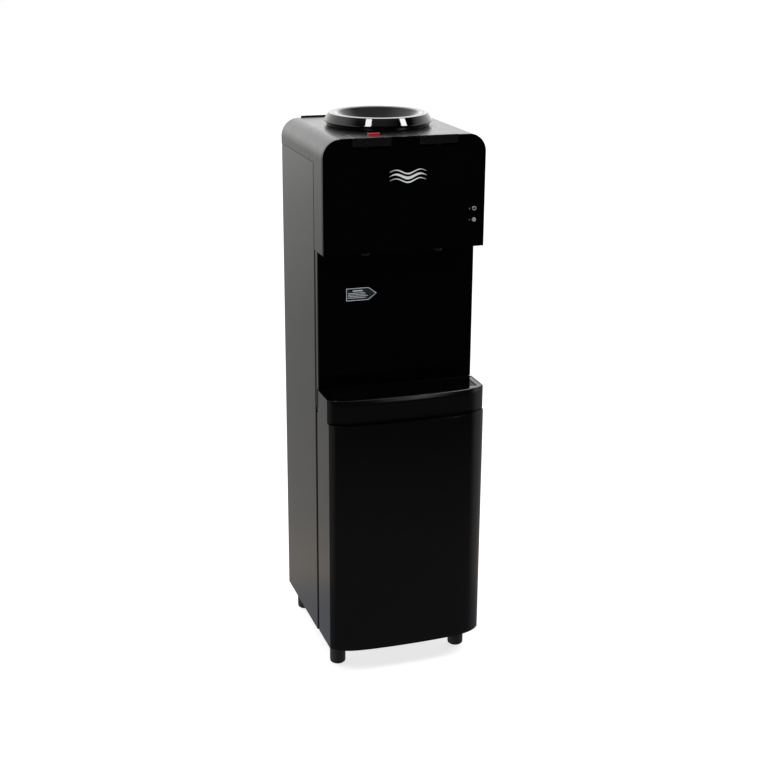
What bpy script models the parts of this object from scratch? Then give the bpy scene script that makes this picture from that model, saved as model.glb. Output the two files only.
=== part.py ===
"""Floor-standing water dispenser that takes a bottle on top: hot and cold keys, drip tray, cabinet with a door.

The frame: +Z up, the floor at z = 0, x = 0 on the middle plane, y = 0 halfway between the door's crown and
the condenser. The front faces -Y, and +X is to the right of a person who stands in front of it.
"""

import math

import bmesh
import bpy
from mathutils import Matrix, Vector

# Driving dimensions, in metres.
WIDTH = 0.310
BODY_DEPTH = 0.2885  # front of the fascia to the back of the back panel
DOOR_PROUD = 0.054  # crown of the door ahead of the fascia
COIL_PROUD = 0.0115  # condenser behind the back panel
FOOT_HEIGHT = 0.045
PAN_HEIGHT = 0.010
DOOR_HEIGHT = 0.464
TRAY_HEIGHT = 0.046
BAY_HEIGHT = 0.267  # tray's rim to the underside of the upper housing
HOUSING_HEIGHT = 0.208
COVER_SKIRT = 0.048  # how far the top cover comes down over the side panels

SEAM_SET_BACK = 0.058  # joint between the plastic front and the sheet side panels, behind the fascia
BAY_SET_BACK = 0.043
TRAY_CORNER_PROUD = 0.018
TRAY_CROWN_PROUD = 0.043
DOOR_CORNER_PROUD = 0.025
CROWN_SHARE = 0.3  # share of a bowed front that is one wide arc; the rest is the turn at its corners
CORNER_POWER = 8

GAP = 0.0003  # between pieces that touch
SEAM = 0.0008  # between pieces of the casing
SHEET = 0.001
WALL = 0.0025
FLANGE = 0.011
CORNER_RADIUS = 0.034
ROUND_STEPS = 28  # sides of the large round pieces
FASCIA_THICKNESS = 0.0035

FOOT_RADIUS = 0.0155
FOOT_INSET_X = 0.030
FOOT_INSET_FRONT = 0.020  # front feet behind the fascia
FOOT_INSET_BACK = 0.022
PAN_INSET = 0.010

LENS_FROM_SIDE = 0.0204
LENS_DOWN = (0.137, 0.158)  # below the cover's top
LENS_RADIUS = 0.004
BADGE_CENTRE = (0.005, 0.070)  # x, and down from the cover's top
BADGE_LENGTH = 0.070
BADGE_WAVE = 0.0055
BADGE_HALF_WIDTH = 0.0032

KEY_IN = 0.027  # inner edge of a key, from the middle plane
KEY_OUT = 0.099
KEY_DEPTH = 0.042
KEY_HEIGHT = 0.016
KEY_PROUD = 0.0005
KEY_TRAVEL_GAP = 0.005
PIN_RADIUS = 0.0015
PIN_FROM_KEY_REAR = 0.0025
PIN_BELOW_TOP = 0.0075
LUG = 0.0035
LOCK_SLOT = (-0.067, -0.030)
LOCK_TAB = (-0.0605, -0.0385)
LOCK_FROM_KEY_REAR = 0.0085
LOCK_DEPTH = 0.007

TAP_X = 0.070
TAP_SET_BACK = 0.018
TAP_RADIUS = 0.0125
TAP_BORE = 0.0045
TAP_LOW = 0.0145  # above the housing's lower edge
TAP_HIGH = 0.068
TAP_INLET_UP = 0.040
SPOUT_DROP = 0.007  # tip below the housing's lower edge
ROD_RADIUS = 0.005
ROD_FLANGE_UP = 0.030  # above the tap's top
SPRING_RADIUS = 0.0078
SPRING_WIRE = 0.0007
SPRING_TURNS = 5

COLLAR_RADIUS = 0.1015
COLLAR_HEIGHT = 0.023
COLLAR_RIM = 0.0920
COLLAR_BOWL = 0.0765
COLLAR_BASE = 0.0955
COLLAR_SPIGOT = 0.0790
THROAT_RADIUS = 0.044
THROAT_DEPTH = 0.050  # below the cover's top
TANK_SET_BACK = 0.160

TANK_RADIUS = 0.080
TANK_WALL = 0.0012
TANK_TOP_DOWN = 0.054  # rim of the cold reservoir below the cover's top
TANK_HEIGHT = 0.215
COIL_TUBE = 0.0028
JACKET_WALL = 0.020
HOT_TANK_RADIUS = 0.047
HOT_TANK_HEIGHT = 0.115
HOT_TANK_BACK = 0.020  # behind the reservoir's axis
HOT_JACKET_WALL = 0.014
HOSE_RADIUS = 0.0045
HOSE_END_GAP = 0.001

TRAY_LIP = 0.0065  # how far the middle of the tray's rim lies behind its crown
TRAY_LIP_HEIGHT = 0.008
RAIL_WIDTH = 0.0125
RAIL_HEIGHT = 0.007
HINGE_PIN_RADIUS = 0.0025
HINGE_FROM_SIDE = 0.0085
HINGE_FROM_SEAM = 0.0105
DOOR_GAP = 0.005  # between the door's rear edge and the side panels
CONDENSER_TUBE = 0.0025
CONDENSER_RUNS = 9
LOUVRES = 8
SWITCH_XS = (0.085, 0.113)
SWITCH_WIDTH = 0.0125
SWITCH_HEIGHT = 0.021
SWITCH_TILT = math.radians(8)

HALF = WIDTH / 2
TOTAL_DEPTH = DOOR_PROUD + BODY_DEPTH + COIL_PROUD
Y_FASCIA = DOOR_PROUD - TOTAL_DEPTH / 2
Y_BACK = Y_FASCIA + BODY_DEPTH
Y_SEAM = Y_FASCIA + SEAM_SET_BACK
Y_BAY = Y_FASCIA + BAY_SET_BACK
Y_SIDE_BACK = Y_BACK - SHEET - 0.0005
Y_KEY_REAR = Y_FASCIA + KEY_DEPTH
Y_TAP = Y_FASCIA + TAP_SET_BACK
Y_TANK = Y_FASCIA + TANK_SET_BACK
Y_DOOR_BACK = Y_SEAM - DOOR_GAP
Z_BODY = FOOT_HEIGHT + PAN_HEIGHT
Z_TRAY = Z_BODY + DOOR_HEIGHT
Z_BAY = Z_TRAY + TRAY_HEIGHT
Z_HOUSING = Z_BAY + BAY_HEIGHT
Z_TOP = Z_HOUSING + HOUSING_HEIGHT
Z_COVER = Z_TOP - COVER_SKIRT
Z_TANK = Z_TOP - TANK_TOP_DOWN - TANK_HEIGHT
Z_TANK_SHELF = Z_TANK - 0.0035
Z_HOT_TANK = Z_TANK_SHELF - 0.050 - HOT_TANK_HEIGHT
Z_PIN = Z_TOP - PIN_BELOW_TOP
Y_PIN = Y_KEY_REAR - PIN_FROM_KEY_REAR
Y_LOCK = Y_KEY_REAR - LOCK_FROM_KEY_REAR
X_HINGE = HALF - HINGE_FROM_SIDE
Y_HINGE = Y_SEAM - HINGE_FROM_SEAM
Z_PANEL = Z_BODY + 0.245
Z_SWITCH = Z_COVER - 0.050
Z_CONDENSER = (Z_PANEL + 0.085, Z_SWITCH - 0.060)
GLAND = (-0.110, Z_PANEL + 0.030)  # x and z
DRAIN = (0.030, Z_PANEL + 0.030)

FINISHES = {
    "gloss_black": ((0.004, 0.004, 0.004), 0.08, 0.0),
    "painted_sheet": ((0.005, 0.005, 0.005), 0.14, 0.0),
    "satin_black": ((0.015, 0.015, 0.016), 0.40, 0.0),
    "matt_black": ((0.020, 0.020, 0.020), 0.65, 0.0),
    "rubber": ((0.018, 0.018, 0.018), 0.80, 0.0),
    "red_plastic": ((0.680, 0.020, 0.025), 0.25, 0.0),
    "green_plastic": ((0.020, 0.300, 0.080), 0.30, 0.0),
    "lens": ((0.750, 0.760, 0.780), 0.20, 0.0),
    "silver_foil": ((0.800, 0.810, 0.820), 0.25, 0.9),
    "label_film": ((0.030, 0.032, 0.034), 0.35, 0.0),
    "steel": ((0.560, 0.570, 0.580), 0.30, 1.0),
    "spring_steel": ((0.450, 0.450, 0.460), 0.35, 1.0),
    "copper": ((0.760, 0.400, 0.250), 0.32, 1.0),
    "foam": ((0.860, 0.860, 0.840), 0.85, 0.0),
    "white_plastic": ((0.780, 0.780, 0.760), 0.40, 0.0),
    "silicone": ((0.820, 0.820, 0.800), 0.50, 0.0),
    "compressor_black": ((0.018, 0.018, 0.020), 0.30, 0.0),
}


def clear_scene():
    """Remove every object of the open scene."""
    for obj in list(bpy.data.objects):
        bpy.data.objects.remove(obj, do_unlink=True)


def new_collection(name):
    """Add a collection to the scene and return it."""
    collection = bpy.data.collections.new(name)
    bpy.context.scene.collection.children.link(collection)
    return collection


clear_scene()
PARTS = new_collection("water_dispenser")
CUTTERS = new_collection("cutters")


def finish(name):
    """Return the Principled material of a named finish, made on its first use."""
    if name in bpy.data.materials:
        return bpy.data.materials[name]
    colour, roughness, metallic = FINISHES[name]
    material = bpy.data.materials.new(name)
    material.use_nodes = True
    shader = material.node_tree.nodes["Principled BSDF"]
    shader.inputs["Base Color"].default_value = (*colour, 1.0)
    shader.inputs["Roughness"].default_value = roughness
    shader.inputs["Metallic"].default_value = metallic
    return material


def new_object(name, bm, look=None, origin=(0, 0, 0)):
    """Turn a bmesh in world coordinates into an object: a part with a look, or a cutter without one."""
    bm.normal_update()
    bmesh.ops.translate(bm, vec=-Vector(origin), verts=bm.verts)
    mesh = bpy.data.meshes.new(name)
    bm.to_mesh(mesh)
    bm.free()
    obj = bpy.data.objects.new(name, mesh)
    obj.location = origin
    if look:
        PARTS.objects.link(obj)
        mesh.materials.append(finish(look))
    else:
        CUTTERS.objects.link(obj)
        obj.hide_render = True
        obj.display_type = "WIRE"
    return obj


def add_box(bm, x, y, z):
    """Add a box to a bmesh, given its (low, high) along each axis."""
    size = [high - low for low, high in (x, y, z)]
    middle = [(low + high) / 2 for low, high in (x, y, z)]
    bmesh.ops.create_cube(bm, size=1.0, matrix=Matrix.Translation(middle) @ Matrix.Diagonal((*size, 1.0)))


def box(name, x, y, z, look=None, origin=(0, 0, 0)):
    """Make a box from its (low, high) along each axis."""
    bm = bmesh.new()
    add_box(bm, x, y, z)
    return new_object(name, bm, look, origin)


def boxes(name, spans):
    """Make one cutter of several separate boxes."""
    bm = bmesh.new()
    for x, y, z in spans:
        add_box(bm, x, y, z)
    return new_object(name, bm)


AXIS_TURNS = {"X": Matrix.Rotation(math.pi / 2, 4, "Y"), "Y": Matrix.Rotation(math.pi / 2, 4, "X"),
              "Z": Matrix.Identity(4)}


def cylinder(name, centre, radius, length, axis="Z", look=None, segments=20):
    """Make a cylinder about its centre, along one axis."""
    bm = bmesh.new()
    bmesh.ops.create_cone(bm, cap_ends=True, segments=segments, radius1=radius, radius2=radius, depth=length,
                          matrix=Matrix.Translation(centre) @ AXIS_TURNS[axis])
    return new_object(name, bm, look)


def arch(name, half, y, z, radius, look=None):
    """Make a block whose two upper edges along Y are rounded."""
    bm = bmesh.new()
    add_box(bm, (-half, half), y, z)
    upper = [edge for edge in bm.edges
             if all(vert.co.z > z[1] - GAP for vert in edge.verts)
             and abs(edge.verts[0].co.x - edge.verts[1].co.x) < GAP]
    bmesh.ops.bevel(bm, geom=upper, offset=radius, offset_type="OFFSET", segments=8, profile=0.5,
                    affect="EDGES", material=-1)
    return new_object(name, bm, look)


def prism(name, outline, low, high, axis="Z", look=None, origin=(0, 0, 0)):
    """Make a flat outline solid between two heights along an axis.

    The outline holds (x, y) points for axis Z, (x, z) points for Y and (y, z) points for X.
    """
    bm = bmesh.new()
    spread = {"Z": lambda a, b: (a, b, low), "Y": lambda a, b: (a, low, b), "X": lambda a, b: (low, a, b)}[axis]
    face = bm.faces.new([bm.verts.new(spread(a, b)) for a, b in outline])
    extruded = bmesh.ops.extrude_face_region(bm, geom=[face])["geom"]
    moved = [item for item in extruded if isinstance(item, bmesh.types.BMVert)]
    direction = {"Z": (0, 0, 1), "Y": (0, 1, 0), "X": (1, 0, 0)}[axis]
    bmesh.ops.translate(bm, vec=Vector(direction) * (high - low), verts=moved)
    bmesh.ops.recalc_face_normals(bm, faces=bm.faces)
    return new_object(name, bm, look, origin)


def turned(name, profile, centre, look=None, steps=24, closed=True, axis="Z"):
    """Turn a profile of (radius, height) points, which runs down its outer side, about an axis."""
    bm = bmesh.new()
    verts = [bm.verts.new((radius, 0, height)) for radius, height in profile]
    for first, second in zip(verts, verts[1:]):
        bm.edges.new((first, second))
    if closed:
        bm.edges.new((verts[-1], verts[0]))
    obj = new_object(name, bm, look)
    obj.location = centre
    if axis == "Y":
        obj.rotation_euler = (-math.pi / 2, 0, 0)
    screw = obj.modifiers.new("turn", "SCREW")
    screw.axis = "Z"
    screw.angle = 2 * math.pi
    screw.steps = steps
    screw.render_steps = steps
    screw.use_merge_vertices = True
    screw.merge_threshold = 0.00002
    screw.use_smooth_shade = True
    return obj


def tube(name, points, radius, look):
    """Make a round bar along a list of points."""
    curve = bpy.data.curves.new(name, "CURVE")
    curve.dimensions = "3D"
    curve.bevel_depth = radius
    curve.bevel_resolution = 1
    curve.use_fill_caps = True
    spline = curve.splines.new("POLY")
    spline.points.add(len(points) - 1)
    for target, point in zip(spline.points, points):
        target.co = (*point, 1.0)
    obj = bpy.data.objects.new(name, curve)
    curve.materials.append(finish(look))
    PARTS.objects.link(obj)
    return obj


def smooth_path(points, per_span=4):
    """Return points on a smooth curve that passes through the given ones."""
    knots = [Vector(point) for point in points]
    knots = [2 * knots[0] - knots[1], *knots, 2 * knots[-1] - knots[-2]]
    path = []
    for before, start, end, after in zip(knots, knots[1:], knots[2:], knots[3:]):
        for step in range(per_span):
            t = step / per_span
            path.append(0.5 * (2 * start + (end - before) * t
                               + (2 * before - 5 * start + 4 * end - after) * t * t
                               + (3 * start - before - 3 * end + after) * t * t * t))
    return [*path, knots[-2]]


def cut(target, cutter, operation="DIFFERENCE"):
    """Cut a helper out of a part, or join it on."""
    modifier = target.modifiers.new(cutter.name, "BOOLEAN")
    modifier.object = cutter
    modifier.operation = operation


def bowed_outline(half, y_back, y_corner, y_crown, inset=0.0, steps=20):
    """Return the plan of a box whose front bows out, all of it moved inwards by an inset.

    The front is a wide arc plus a quick turn near each side corner.
    """
    half, y_corner, y_crown = half - inset, y_corner + inset, y_crown + inset
    bow = y_corner - y_crown
    front = []
    for step in range(steps + 1):
        share = math.sin(math.pi / 2 * (2 * step / steps - 1))
        rise = CROWN_SHARE * (1 - share ** 2) + (1 - CROWN_SHARE) * (1 - abs(share) ** CORNER_POWER)
        front.append((half * share, y_corner - bow * rise))
    return [*front, (half, y_back), (-half, y_back)]


def folded_sheet(name, path, low, high, thickness, look):
    """Make a sheet that follows a path of (x, y) points, between two heights; its thickness lies inside."""
    bm = bmesh.new()
    lower = [bm.verts.new((x, y, low)) for x, y in path]
    upper = [bm.verts.new((x, y, high)) for x, y in path]
    for index in range(len(path) - 1):
        bm.faces.new((lower[index], lower[index + 1], upper[index + 1], upper[index]))
    obj = new_object(name, bm, look)
    solidify = obj.modifiers.new("thickness", "SOLIDIFY")
    solidify.thickness = thickness
    solidify.offset = -1
    solidify.use_even_offset = True
    return obj


def make_feet():
    """Four round feet, each with a stem in the base pan."""
    profile = [(0, Z_BODY - WALL - GAP), (0.005, Z_BODY - WALL - GAP), (0.005, FOOT_HEIGHT),
               (FOOT_RADIUS, FOOT_HEIGHT), (FOOT_RADIUS, 0.003), (FOOT_RADIUS - 0.002, 0), (0, 0)]
    for side, sign in (("left", -1), ("right", 1)):
        for end, y in (("front", Y_FASCIA + FOOT_INSET_FRONT), ("rear", Y_BACK - FOOT_INSET_BACK)):
            turned(f"foot_{end}_{side}", profile, (sign * (HALF - FOOT_INSET_X), y, 0), "rubber", 20, closed=False)


def make_base_pan():
    """A shallow pan, open below, that carries the feet, the compressor and the door's lower pin."""
    half, top = HALF - PAN_INSET, Z_BODY - GAP
    y = (Y_FASCIA - 0.007, Y_BACK - 0.006)
    pan = box("base_pan", (-half, half), y, (FOOT_HEIGHT, top), "satin_black")
    cut(pan, box("pan_hollow", (WALL - half, half - WALL), (y[0] + WALL, y[1] - WALL),
                 (FOOT_HEIGHT - WALL, top - WALL)))
    ear = box("pan_ear", (half - 2 * WALL, X_HINGE + 2 * HINGE_PIN_RADIUS),
              (Y_HINGE - 0.007, Y_HINGE + 0.007), (FOOT_HEIGHT + 0.004, top))
    cut(pan, ear, "UNION")
    cut(pan, cylinder("pan_bore", (X_HINGE, Y_HINGE, Z_BODY), HINGE_PIN_RADIUS + GAP, 4 * PAN_HEIGHT))


def make_side_panels():
    """Two painted sheet sides, folded inwards at the front and the back."""
    for side, sign in (("left", -1), ("right", 1)):
        path = [(sign * (HALF - FLANGE), Y_SEAM), (sign * HALF, Y_SEAM),
                (sign * HALF, Y_SIDE_BACK), (sign * (HALF - FLANGE), Y_SIDE_BACK)]
        if sign > 0:
            path.reverse()
        folded_sheet(f"side_panel_{side}", path, Z_BODY, Z_COVER - GAP, SHEET, "painted_sheet").data.flip_normals()


def make_back_panel():
    """The sheet back, with louvres, a tab above the top cover and holes for what passes through it."""
    half, tab = HALF - 0.0015, HALF - 0.040
    outline = [(-half, Z_PANEL), (half, Z_PANEL), (half, Z_COVER - SEAM), (tab, Z_COVER - SEAM),
               (tab, Z_TOP + 0.003), (-tab, Z_TOP + 0.003), (-tab, Z_COVER - SEAM), (-half, Z_COVER - SEAM)]
    panel = prism("back_panel", outline, Y_BACK - SHEET, Y_BACK, "Y", "painted_sheet")
    through = (Y_BACK - 0.010, Y_BACK + 0.010)
    pitch = (Z_CONDENSER[1] - Z_CONDENSER[0]) / LOUVRES
    slots = [((x, x + 0.080), through, (z, z + 0.006)) for x in (-0.100, 0.020)
             for z in (Z_CONDENSER[0] + pitch * (row + 0.5) for row in range(LOUVRES))]
    cut(panel, boxes("louvres", slots))
    cut(panel, box("bezel_hole", (SWITCH_XS[0] - 0.0125, SWITCH_XS[1] + 0.0125), through,
                   (Z_SWITCH - 0.0165, Z_SWITCH + 0.0165)))
    cut(panel, cylinder("gland_hole", (GLAND[0], Y_BACK, GLAND[1]), 0.0083, 0.010, "Y"))
    cut(panel, cylinder("drain_hole", (DRAIN[0], Y_BACK, DRAIN[1]), 0.0103, 0.010, "Y"))


def make_upper_housing():
    """The top cover and the sides of the tap compartment in one moulding, with the keys' lugs under it."""
    front = Y_FASCIA + FASCIA_THICKNESS + SEAM
    housing = arch("upper_housing", HALF, (front, Y_SIDE_BACK), (Z_HOUSING, Z_TOP), CORNER_RADIUS, "gloss_black")
    cut(housing, arch("housing_hollow", HALF - WALL, (front - WALL, Y_SIDE_BACK - WALL),
                      (Z_HOUSING - WALL, Z_TOP - WALL), CORNER_RADIUS - WALL))
    cut(housing, box("side_cut", (-WIDTH, WIDTH), (Y_SEAM - SEAM, Y_BACK + WALL), (Z_HOUSING - WALL, Z_COVER)))
    collar_hole = (COLLAR_SPIGOT + GAP) / math.cos(math.pi / ROUND_STEPS)
    cut(housing, cylinder("collar_hole", (0, Y_TANK, Z_TOP), collar_hole, 4 * WALL, segments=ROUND_STEPS))
    notches = [(span, (front - WALL, Y_KEY_REAR), (Z_TOP - 2 * WALL, Z_TOP + WALL))
               for span in ((-KEY_OUT, -KEY_IN), (KEY_IN, KEY_OUT))]
    cut(housing, boxes("key_notches", notches))
    lugs = [(span, (Y_PIN - 0.004, Y_PIN + 0.004), (Z_PIN - 0.004, Z_TOP - WALL / 2))
            for span in ((-KEY_OUT - 0.002 - LUG, -KEY_OUT - 0.002), (-KEY_IN + 0.002, -KEY_IN + 0.002 + LUG),
                         (KEY_IN - 0.002 - LUG, KEY_IN - 0.002), (KEY_OUT + 0.002, KEY_OUT + 0.002 + LUG))]
    cut(housing, boxes("pin_lugs", lugs), "UNION")
    cut(housing, cylinder("pin_bores", (0, Y_PIN, Z_PIN), PIN_RADIUS + GAP, WIDTH - 0.02, "X"))


def make_fascia():
    """The flat front of the housing, its two lenses and the plain wave badge on it."""
    fascia = arch("front_fascia", HALF - 0.0005, (Y_FASCIA, Y_FASCIA + FASCIA_THICKNESS), (Z_HOUSING, Z_TOP),
                  CORNER_RADIUS - 0.0005, "gloss_black")
    through = (Y_FASCIA - WALL, Y_FASCIA + 2 * FASCIA_THICKNESS)
    floor = Z_TOP + KEY_PROUD - KEY_HEIGHT - KEY_TRAVEL_GAP
    cut(fascia, boxes("fascia_notches", [((side - 0.0005, other + 0.0005), through, (floor, Z_TOP + WALL))
                                         for side, other in ((-KEY_OUT, -KEY_IN), (KEY_IN, KEY_OUT))]))
    x = HALF - LENS_FROM_SIDE
    for name, down in zip(("heating", "cooling"), LENS_DOWN):
        centre = (x, Y_FASCIA + FASCIA_THICKNESS / 2, Z_TOP - down)
        cut(fascia, cylinder(f"{name}_hole", centre, LENS_RADIUS + GAP, 0.02, "Y"))
        cylinder(f"{name}_lens", centre, LENS_RADIUS, FASCIA_THICKNESS + 0.001, "Y", "lens")


def make_badge():
    """A ribbon in the form of a wave, thin at its ends."""
    steps = 18
    upper, lower = [], []
    for step in range(steps + 1):
        share = step / steps
        x = BADGE_CENTRE[0] + BADGE_LENGTH * (share - 0.5)
        z = Z_TOP - BADGE_CENTRE[1] + BADGE_WAVE * math.sin(3 * math.pi * share)
        width = BADGE_HALF_WIDTH * (0.12 + 0.88 * math.sin(math.pi * share))
        upper.append((x, z + width))
        lower.append((x, z - width))
    prism("badge", [*upper, *reversed(lower)], Y_FASCIA - 0.0011, Y_FASCIA - GAP, "Y", "silver_foil")


def make_keys():
    """Two push keys on one pin, and the sliding lock on the hot one."""
    pin = (0, Y_PIN, Z_PIN)
    cylinder("key_pin", pin, PIN_RADIUS, 2 * (KEY_OUT + 0.002 + LUG), "X", "steel", segments=12)
    inner = KEY_IN + 0.0005, KEY_OUT - 0.0005
    y = (Y_FASCIA, Y_KEY_REAR - 0.0005)
    top = Z_TOP + KEY_PROUD
    for name, sign in (("hot_key", -1), ("cold_key", 1)):
        span = sorted(sign * edge for edge in inner)
        middle = (span[0] + span[1]) / 2
        key = box(name, span, y, (top - KEY_HEIGHT, top), "gloss_black", (middle, Y_PIN, Z_PIN))
        cut(key, box(f"{name}_hollow", (span[0] + WALL, span[1] - WALL), (y[0] + WALL, y[1] + WALL),
                     (top - KEY_HEIGHT - WALL, top - WALL)))
        cut(key, cylinder(f"{name}_bore", (middle, Y_PIN, Z_PIN), PIN_RADIUS + GAP, 2 * KEY_OUT, "X"))
        if sign < 0:
            cut(key, box("lock_slot", LOCK_SLOT, (Y_LOCK - LOCK_DEPTH / 2 - GAP, Y_LOCK + LOCK_DEPTH / 2 + GAP),
                         (top - 2 * WALL, top + WALL)))
    make_child_lock(top)


def make_child_lock(key_top):
    """A red tab that slides in the hot key's slot, held under it by a wider foot."""
    under = key_top - WALL - GAP
    bm = bmesh.new()
    add_box(bm, LOCK_TAB, (Y_LOCK - LOCK_DEPTH / 2, Y_LOCK + LOCK_DEPTH / 2), (under - 0.001, key_top + 0.0028))
    lock = new_object("child_lock", bm, "red_plastic", ((LOCK_TAB[0] + LOCK_TAB[1]) / 2, Y_LOCK, key_top))
    cut(lock, box("lock_foot", (LOCK_TAB[0] - 0.002, LOCK_TAB[1] + 0.002),
                  (Y_LOCK - LOCK_DEPTH / 2 - 0.002, Y_LOCK + LOCK_DEPTH / 2 + 0.002), (under - 0.003, under)), "UNION")


def make_tap(name, x):
    """A tap body with its inlet, the spout under it, the push rod and the return spring over it."""
    low, high = Z_HOUSING + TAP_LOW, Z_HOUSING + TAP_HIGH
    inlet = Z_HOUSING + TAP_INLET_UP
    body = turned(f"{name}_tap", [(TAP_RADIUS, high), (TAP_RADIUS, low + 0.006), (TAP_RADIUS - 0.003, low),
                                  (TAP_BORE, low), (TAP_BORE, high)], (x, Y_TAP, 0), "white_plastic")
    stub = cylinder(f"{name}_inlet", (x, Y_TAP + TAP_BORE + 0.0085, inlet), 0.0065, 0.013, "Y")
    cut(body, stub, "UNION")
    tip = Z_HOUSING - SPOUT_DROP
    turned(f"{name}_spout", [(0.0105, low - GAP), (0.0105, tip + 0.013), (0.008, tip), (0.005, tip),
                             (0.005, low - GAP)], (x, Y_TAP, 0), "gloss_black")
    key_under = Z_TOP + KEY_PROUD - WALL - GAP
    flange = high + ROD_FLANGE_UP
    turned(f"{name}_rod", [(0, key_under), (0.002, key_under), (ROD_RADIUS, key_under - 0.003),
                           (ROD_RADIUS, flange + 0.003), (0.0095, flange + 0.003), (0.0095, flange),
                           (TAP_BORE - GAP, flange), (TAP_BORE - GAP, inlet - 0.004), (0, inlet - 0.004)],
           (x, Y_TAP, 0), "white_plastic", 16, closed=False)
    low, high = high + GAP + SPRING_WIRE, flange - GAP - SPRING_WIRE
    count = SPRING_TURNS * 8
    helix = [(x + SPRING_RADIUS * math.cos(math.tau * SPRING_TURNS * step / count),
              Y_TAP + SPRING_RADIUS * math.sin(math.tau * SPRING_TURNS * step / count),
              low + (high - low) * step / count) for step in range(count + 1)]
    tube(f"{name}_spring", helix, SPRING_WIRE, "spring_steel")


def make_underside():
    """The plate under the tap compartment, with a hole for each spout."""
    plate = box("underside_plate", (0.003 - HALF, HALF - 0.003),
                (Y_FASCIA + FASCIA_THICKNESS + 0.0005, Y_BAY - GAP), (Z_HOUSING + 0.003, Z_HOUSING + 0.0055),
                "satin_black")
    for name, x in (("hot", -TAP_X), ("cold", TAP_X)):
        cut(plate, cylinder(f"{name}_spout_hole", (x, Y_TAP, Z_HOUSING), 0.0115, 0.02))


def make_bay():
    """The recessed wall behind the cups, and the instruction label on it."""
    half, low = HALF - 0.0015, Z_TRAY + RAIL_HEIGHT + 0.0025
    path = [(-half, Y_SEAM - 0.002), (-half, Y_BAY), (half, Y_BAY), (half, Y_SEAM - 0.002)]
    panel = folded_sheet("bay_panel", path, low, Z_HOUSING - SEAM, WALL, "gloss_black")
    cut(panel, boxes("tray_relief", [((side, side + 0.02), (Y_BAY - WALL, Y_SEAM - 0.006),
                                      (low - WALL, Z_BAY + 0.002)) for side in (half - 0.0035, -half - 0.0165)]))
    x, z = -0.099, Z_BAY + 0.168
    height, straight, length = 0.025, 0.044, 0.060
    prism("instruction_label", [(x, z), (x + straight, z), (x + length, z + height / 2), (x + straight, z + height),
                                (x, z + height)], Y_BAY - GAP - 0.0004, Y_BAY - GAP, "Y", "label_film")


def tray_block(outline, half, y_front):
    """Return a bmesh of the tray's solid, whose upper front edge is shaved back, most at its middle."""
    bm = bmesh.new()
    bm.faces.new([bm.verts.new((x, y, Z_TRAY + GAP)) for x, y in outline])
    ring = list(bm.edges)
    for z, set_back in ((Z_BAY - TRAY_LIP_HEIGHT, 0), (Z_BAY, TRAY_LIP)):
        extruded = bmesh.ops.extrude_edge_only(bm, edges=ring)["geom"]
        ring = [item for item in extruded if isinstance(item, bmesh.types.BMEdge)]
        for vert in (item for item in extruded if isinstance(item, bmesh.types.BMVert)):
            vert.co.z = z
            if vert.co.y < y_front + GAP:
                vert.co.y += set_back * (1 - (vert.co.x / half) ** 2)
    bmesh.ops.contextual_create(bm, geom=ring)
    bmesh.ops.recalc_face_normals(bm, faces=bm.faces)
    return bm


def make_tray():
    """The drip tray on its two rails, and its grille."""
    y_back, corner, crown = Y_BAY - SEAM, Y_FASCIA - TRAY_CORNER_PROUD, Y_FASCIA - TRAY_CROWN_PROUD
    half, floor, ledge = HALF - 0.0005, Z_TRAY + 0.0135, Z_BAY - 0.0042

    def plan(inset):
        return bowed_outline(half, y_back - inset, corner, crown + TRAY_LIP, inset)

    cross = box("cross_member", (0.0035 - HALF, HALF - 0.0035), (Y_BAY, Y_SEAM - 0.0006),
                (Z_TRAY + 0.0005, Z_TRAY + RAIL_HEIGHT + 0.002), "steel")
    cut(cross, cylinder("cross_bore", (X_HINGE, Y_HINGE, Z_TRAY), HINGE_PIN_RADIUS + GAP, 0.04))
    tray = new_object("drip_tray", tray_block(bowed_outline(half, y_back, corner, crown), half, corner), "gloss_black")
    cut(tray, prism("tray_basin", plan(0.005), floor, ledge))
    cut(tray, prism("tray_recess", plan(WALL), ledge - GAP, Z_BAY + WALL))
    rail_out = HALF - 0.0035
    rail_in = rail_out - RAIL_WIDTH
    rail_front = corner + 0.006
    pockets = [((rail_out + 0.0005 - RAIL_WIDTH - 0.001, rail_out + 0.0005), (rail_front - 0.002, y_back + WALL),
                (Z_TRAY - WALL, Z_TRAY + RAIL_HEIGHT + 0.002))]
    pockets.append(((-pockets[0][0][1], -pockets[0][0][0]), *pockets[0][1:]))
    pockets.append(((0.005 - rail_in, rail_in - 0.005), (rail_front, y_back - 0.005), (Z_TRAY - WALL, floor - WALL)))
    cut(tray, boxes("tray_pockets", pockets))
    for side, sign in (("left", -1), ("right", 1)):
        box(f"tray_rail_{side}", sorted((sign * rail_in, sign * rail_out)), (rail_front, Y_BAY - GAP),
            (Z_TRAY + 0.0015, Z_TRAY + 0.0015 + RAIL_HEIGHT), "steel")

    grille = prism("drip_grille", plan(WALL + 0.0004), ledge + GAP, ledge + 0.0035, "Z", "satin_black")
    columns = 16
    pitch = (WIDTH - 0.030) / columns
    through = (ledge - WALL, Z_BAY)
    rows = [(y_back - 0.028, y_back - 0.008), (y_back - 0.055, y_back - 0.035)]
    cut(grille, boxes("grille_slots", [((x - pitch * 0.25, x + pitch * 0.25), row, through)
                                       for x in (pitch * (index - columns / 2 + 0.5) for index in range(columns))
                                       for row in rows]))


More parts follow.
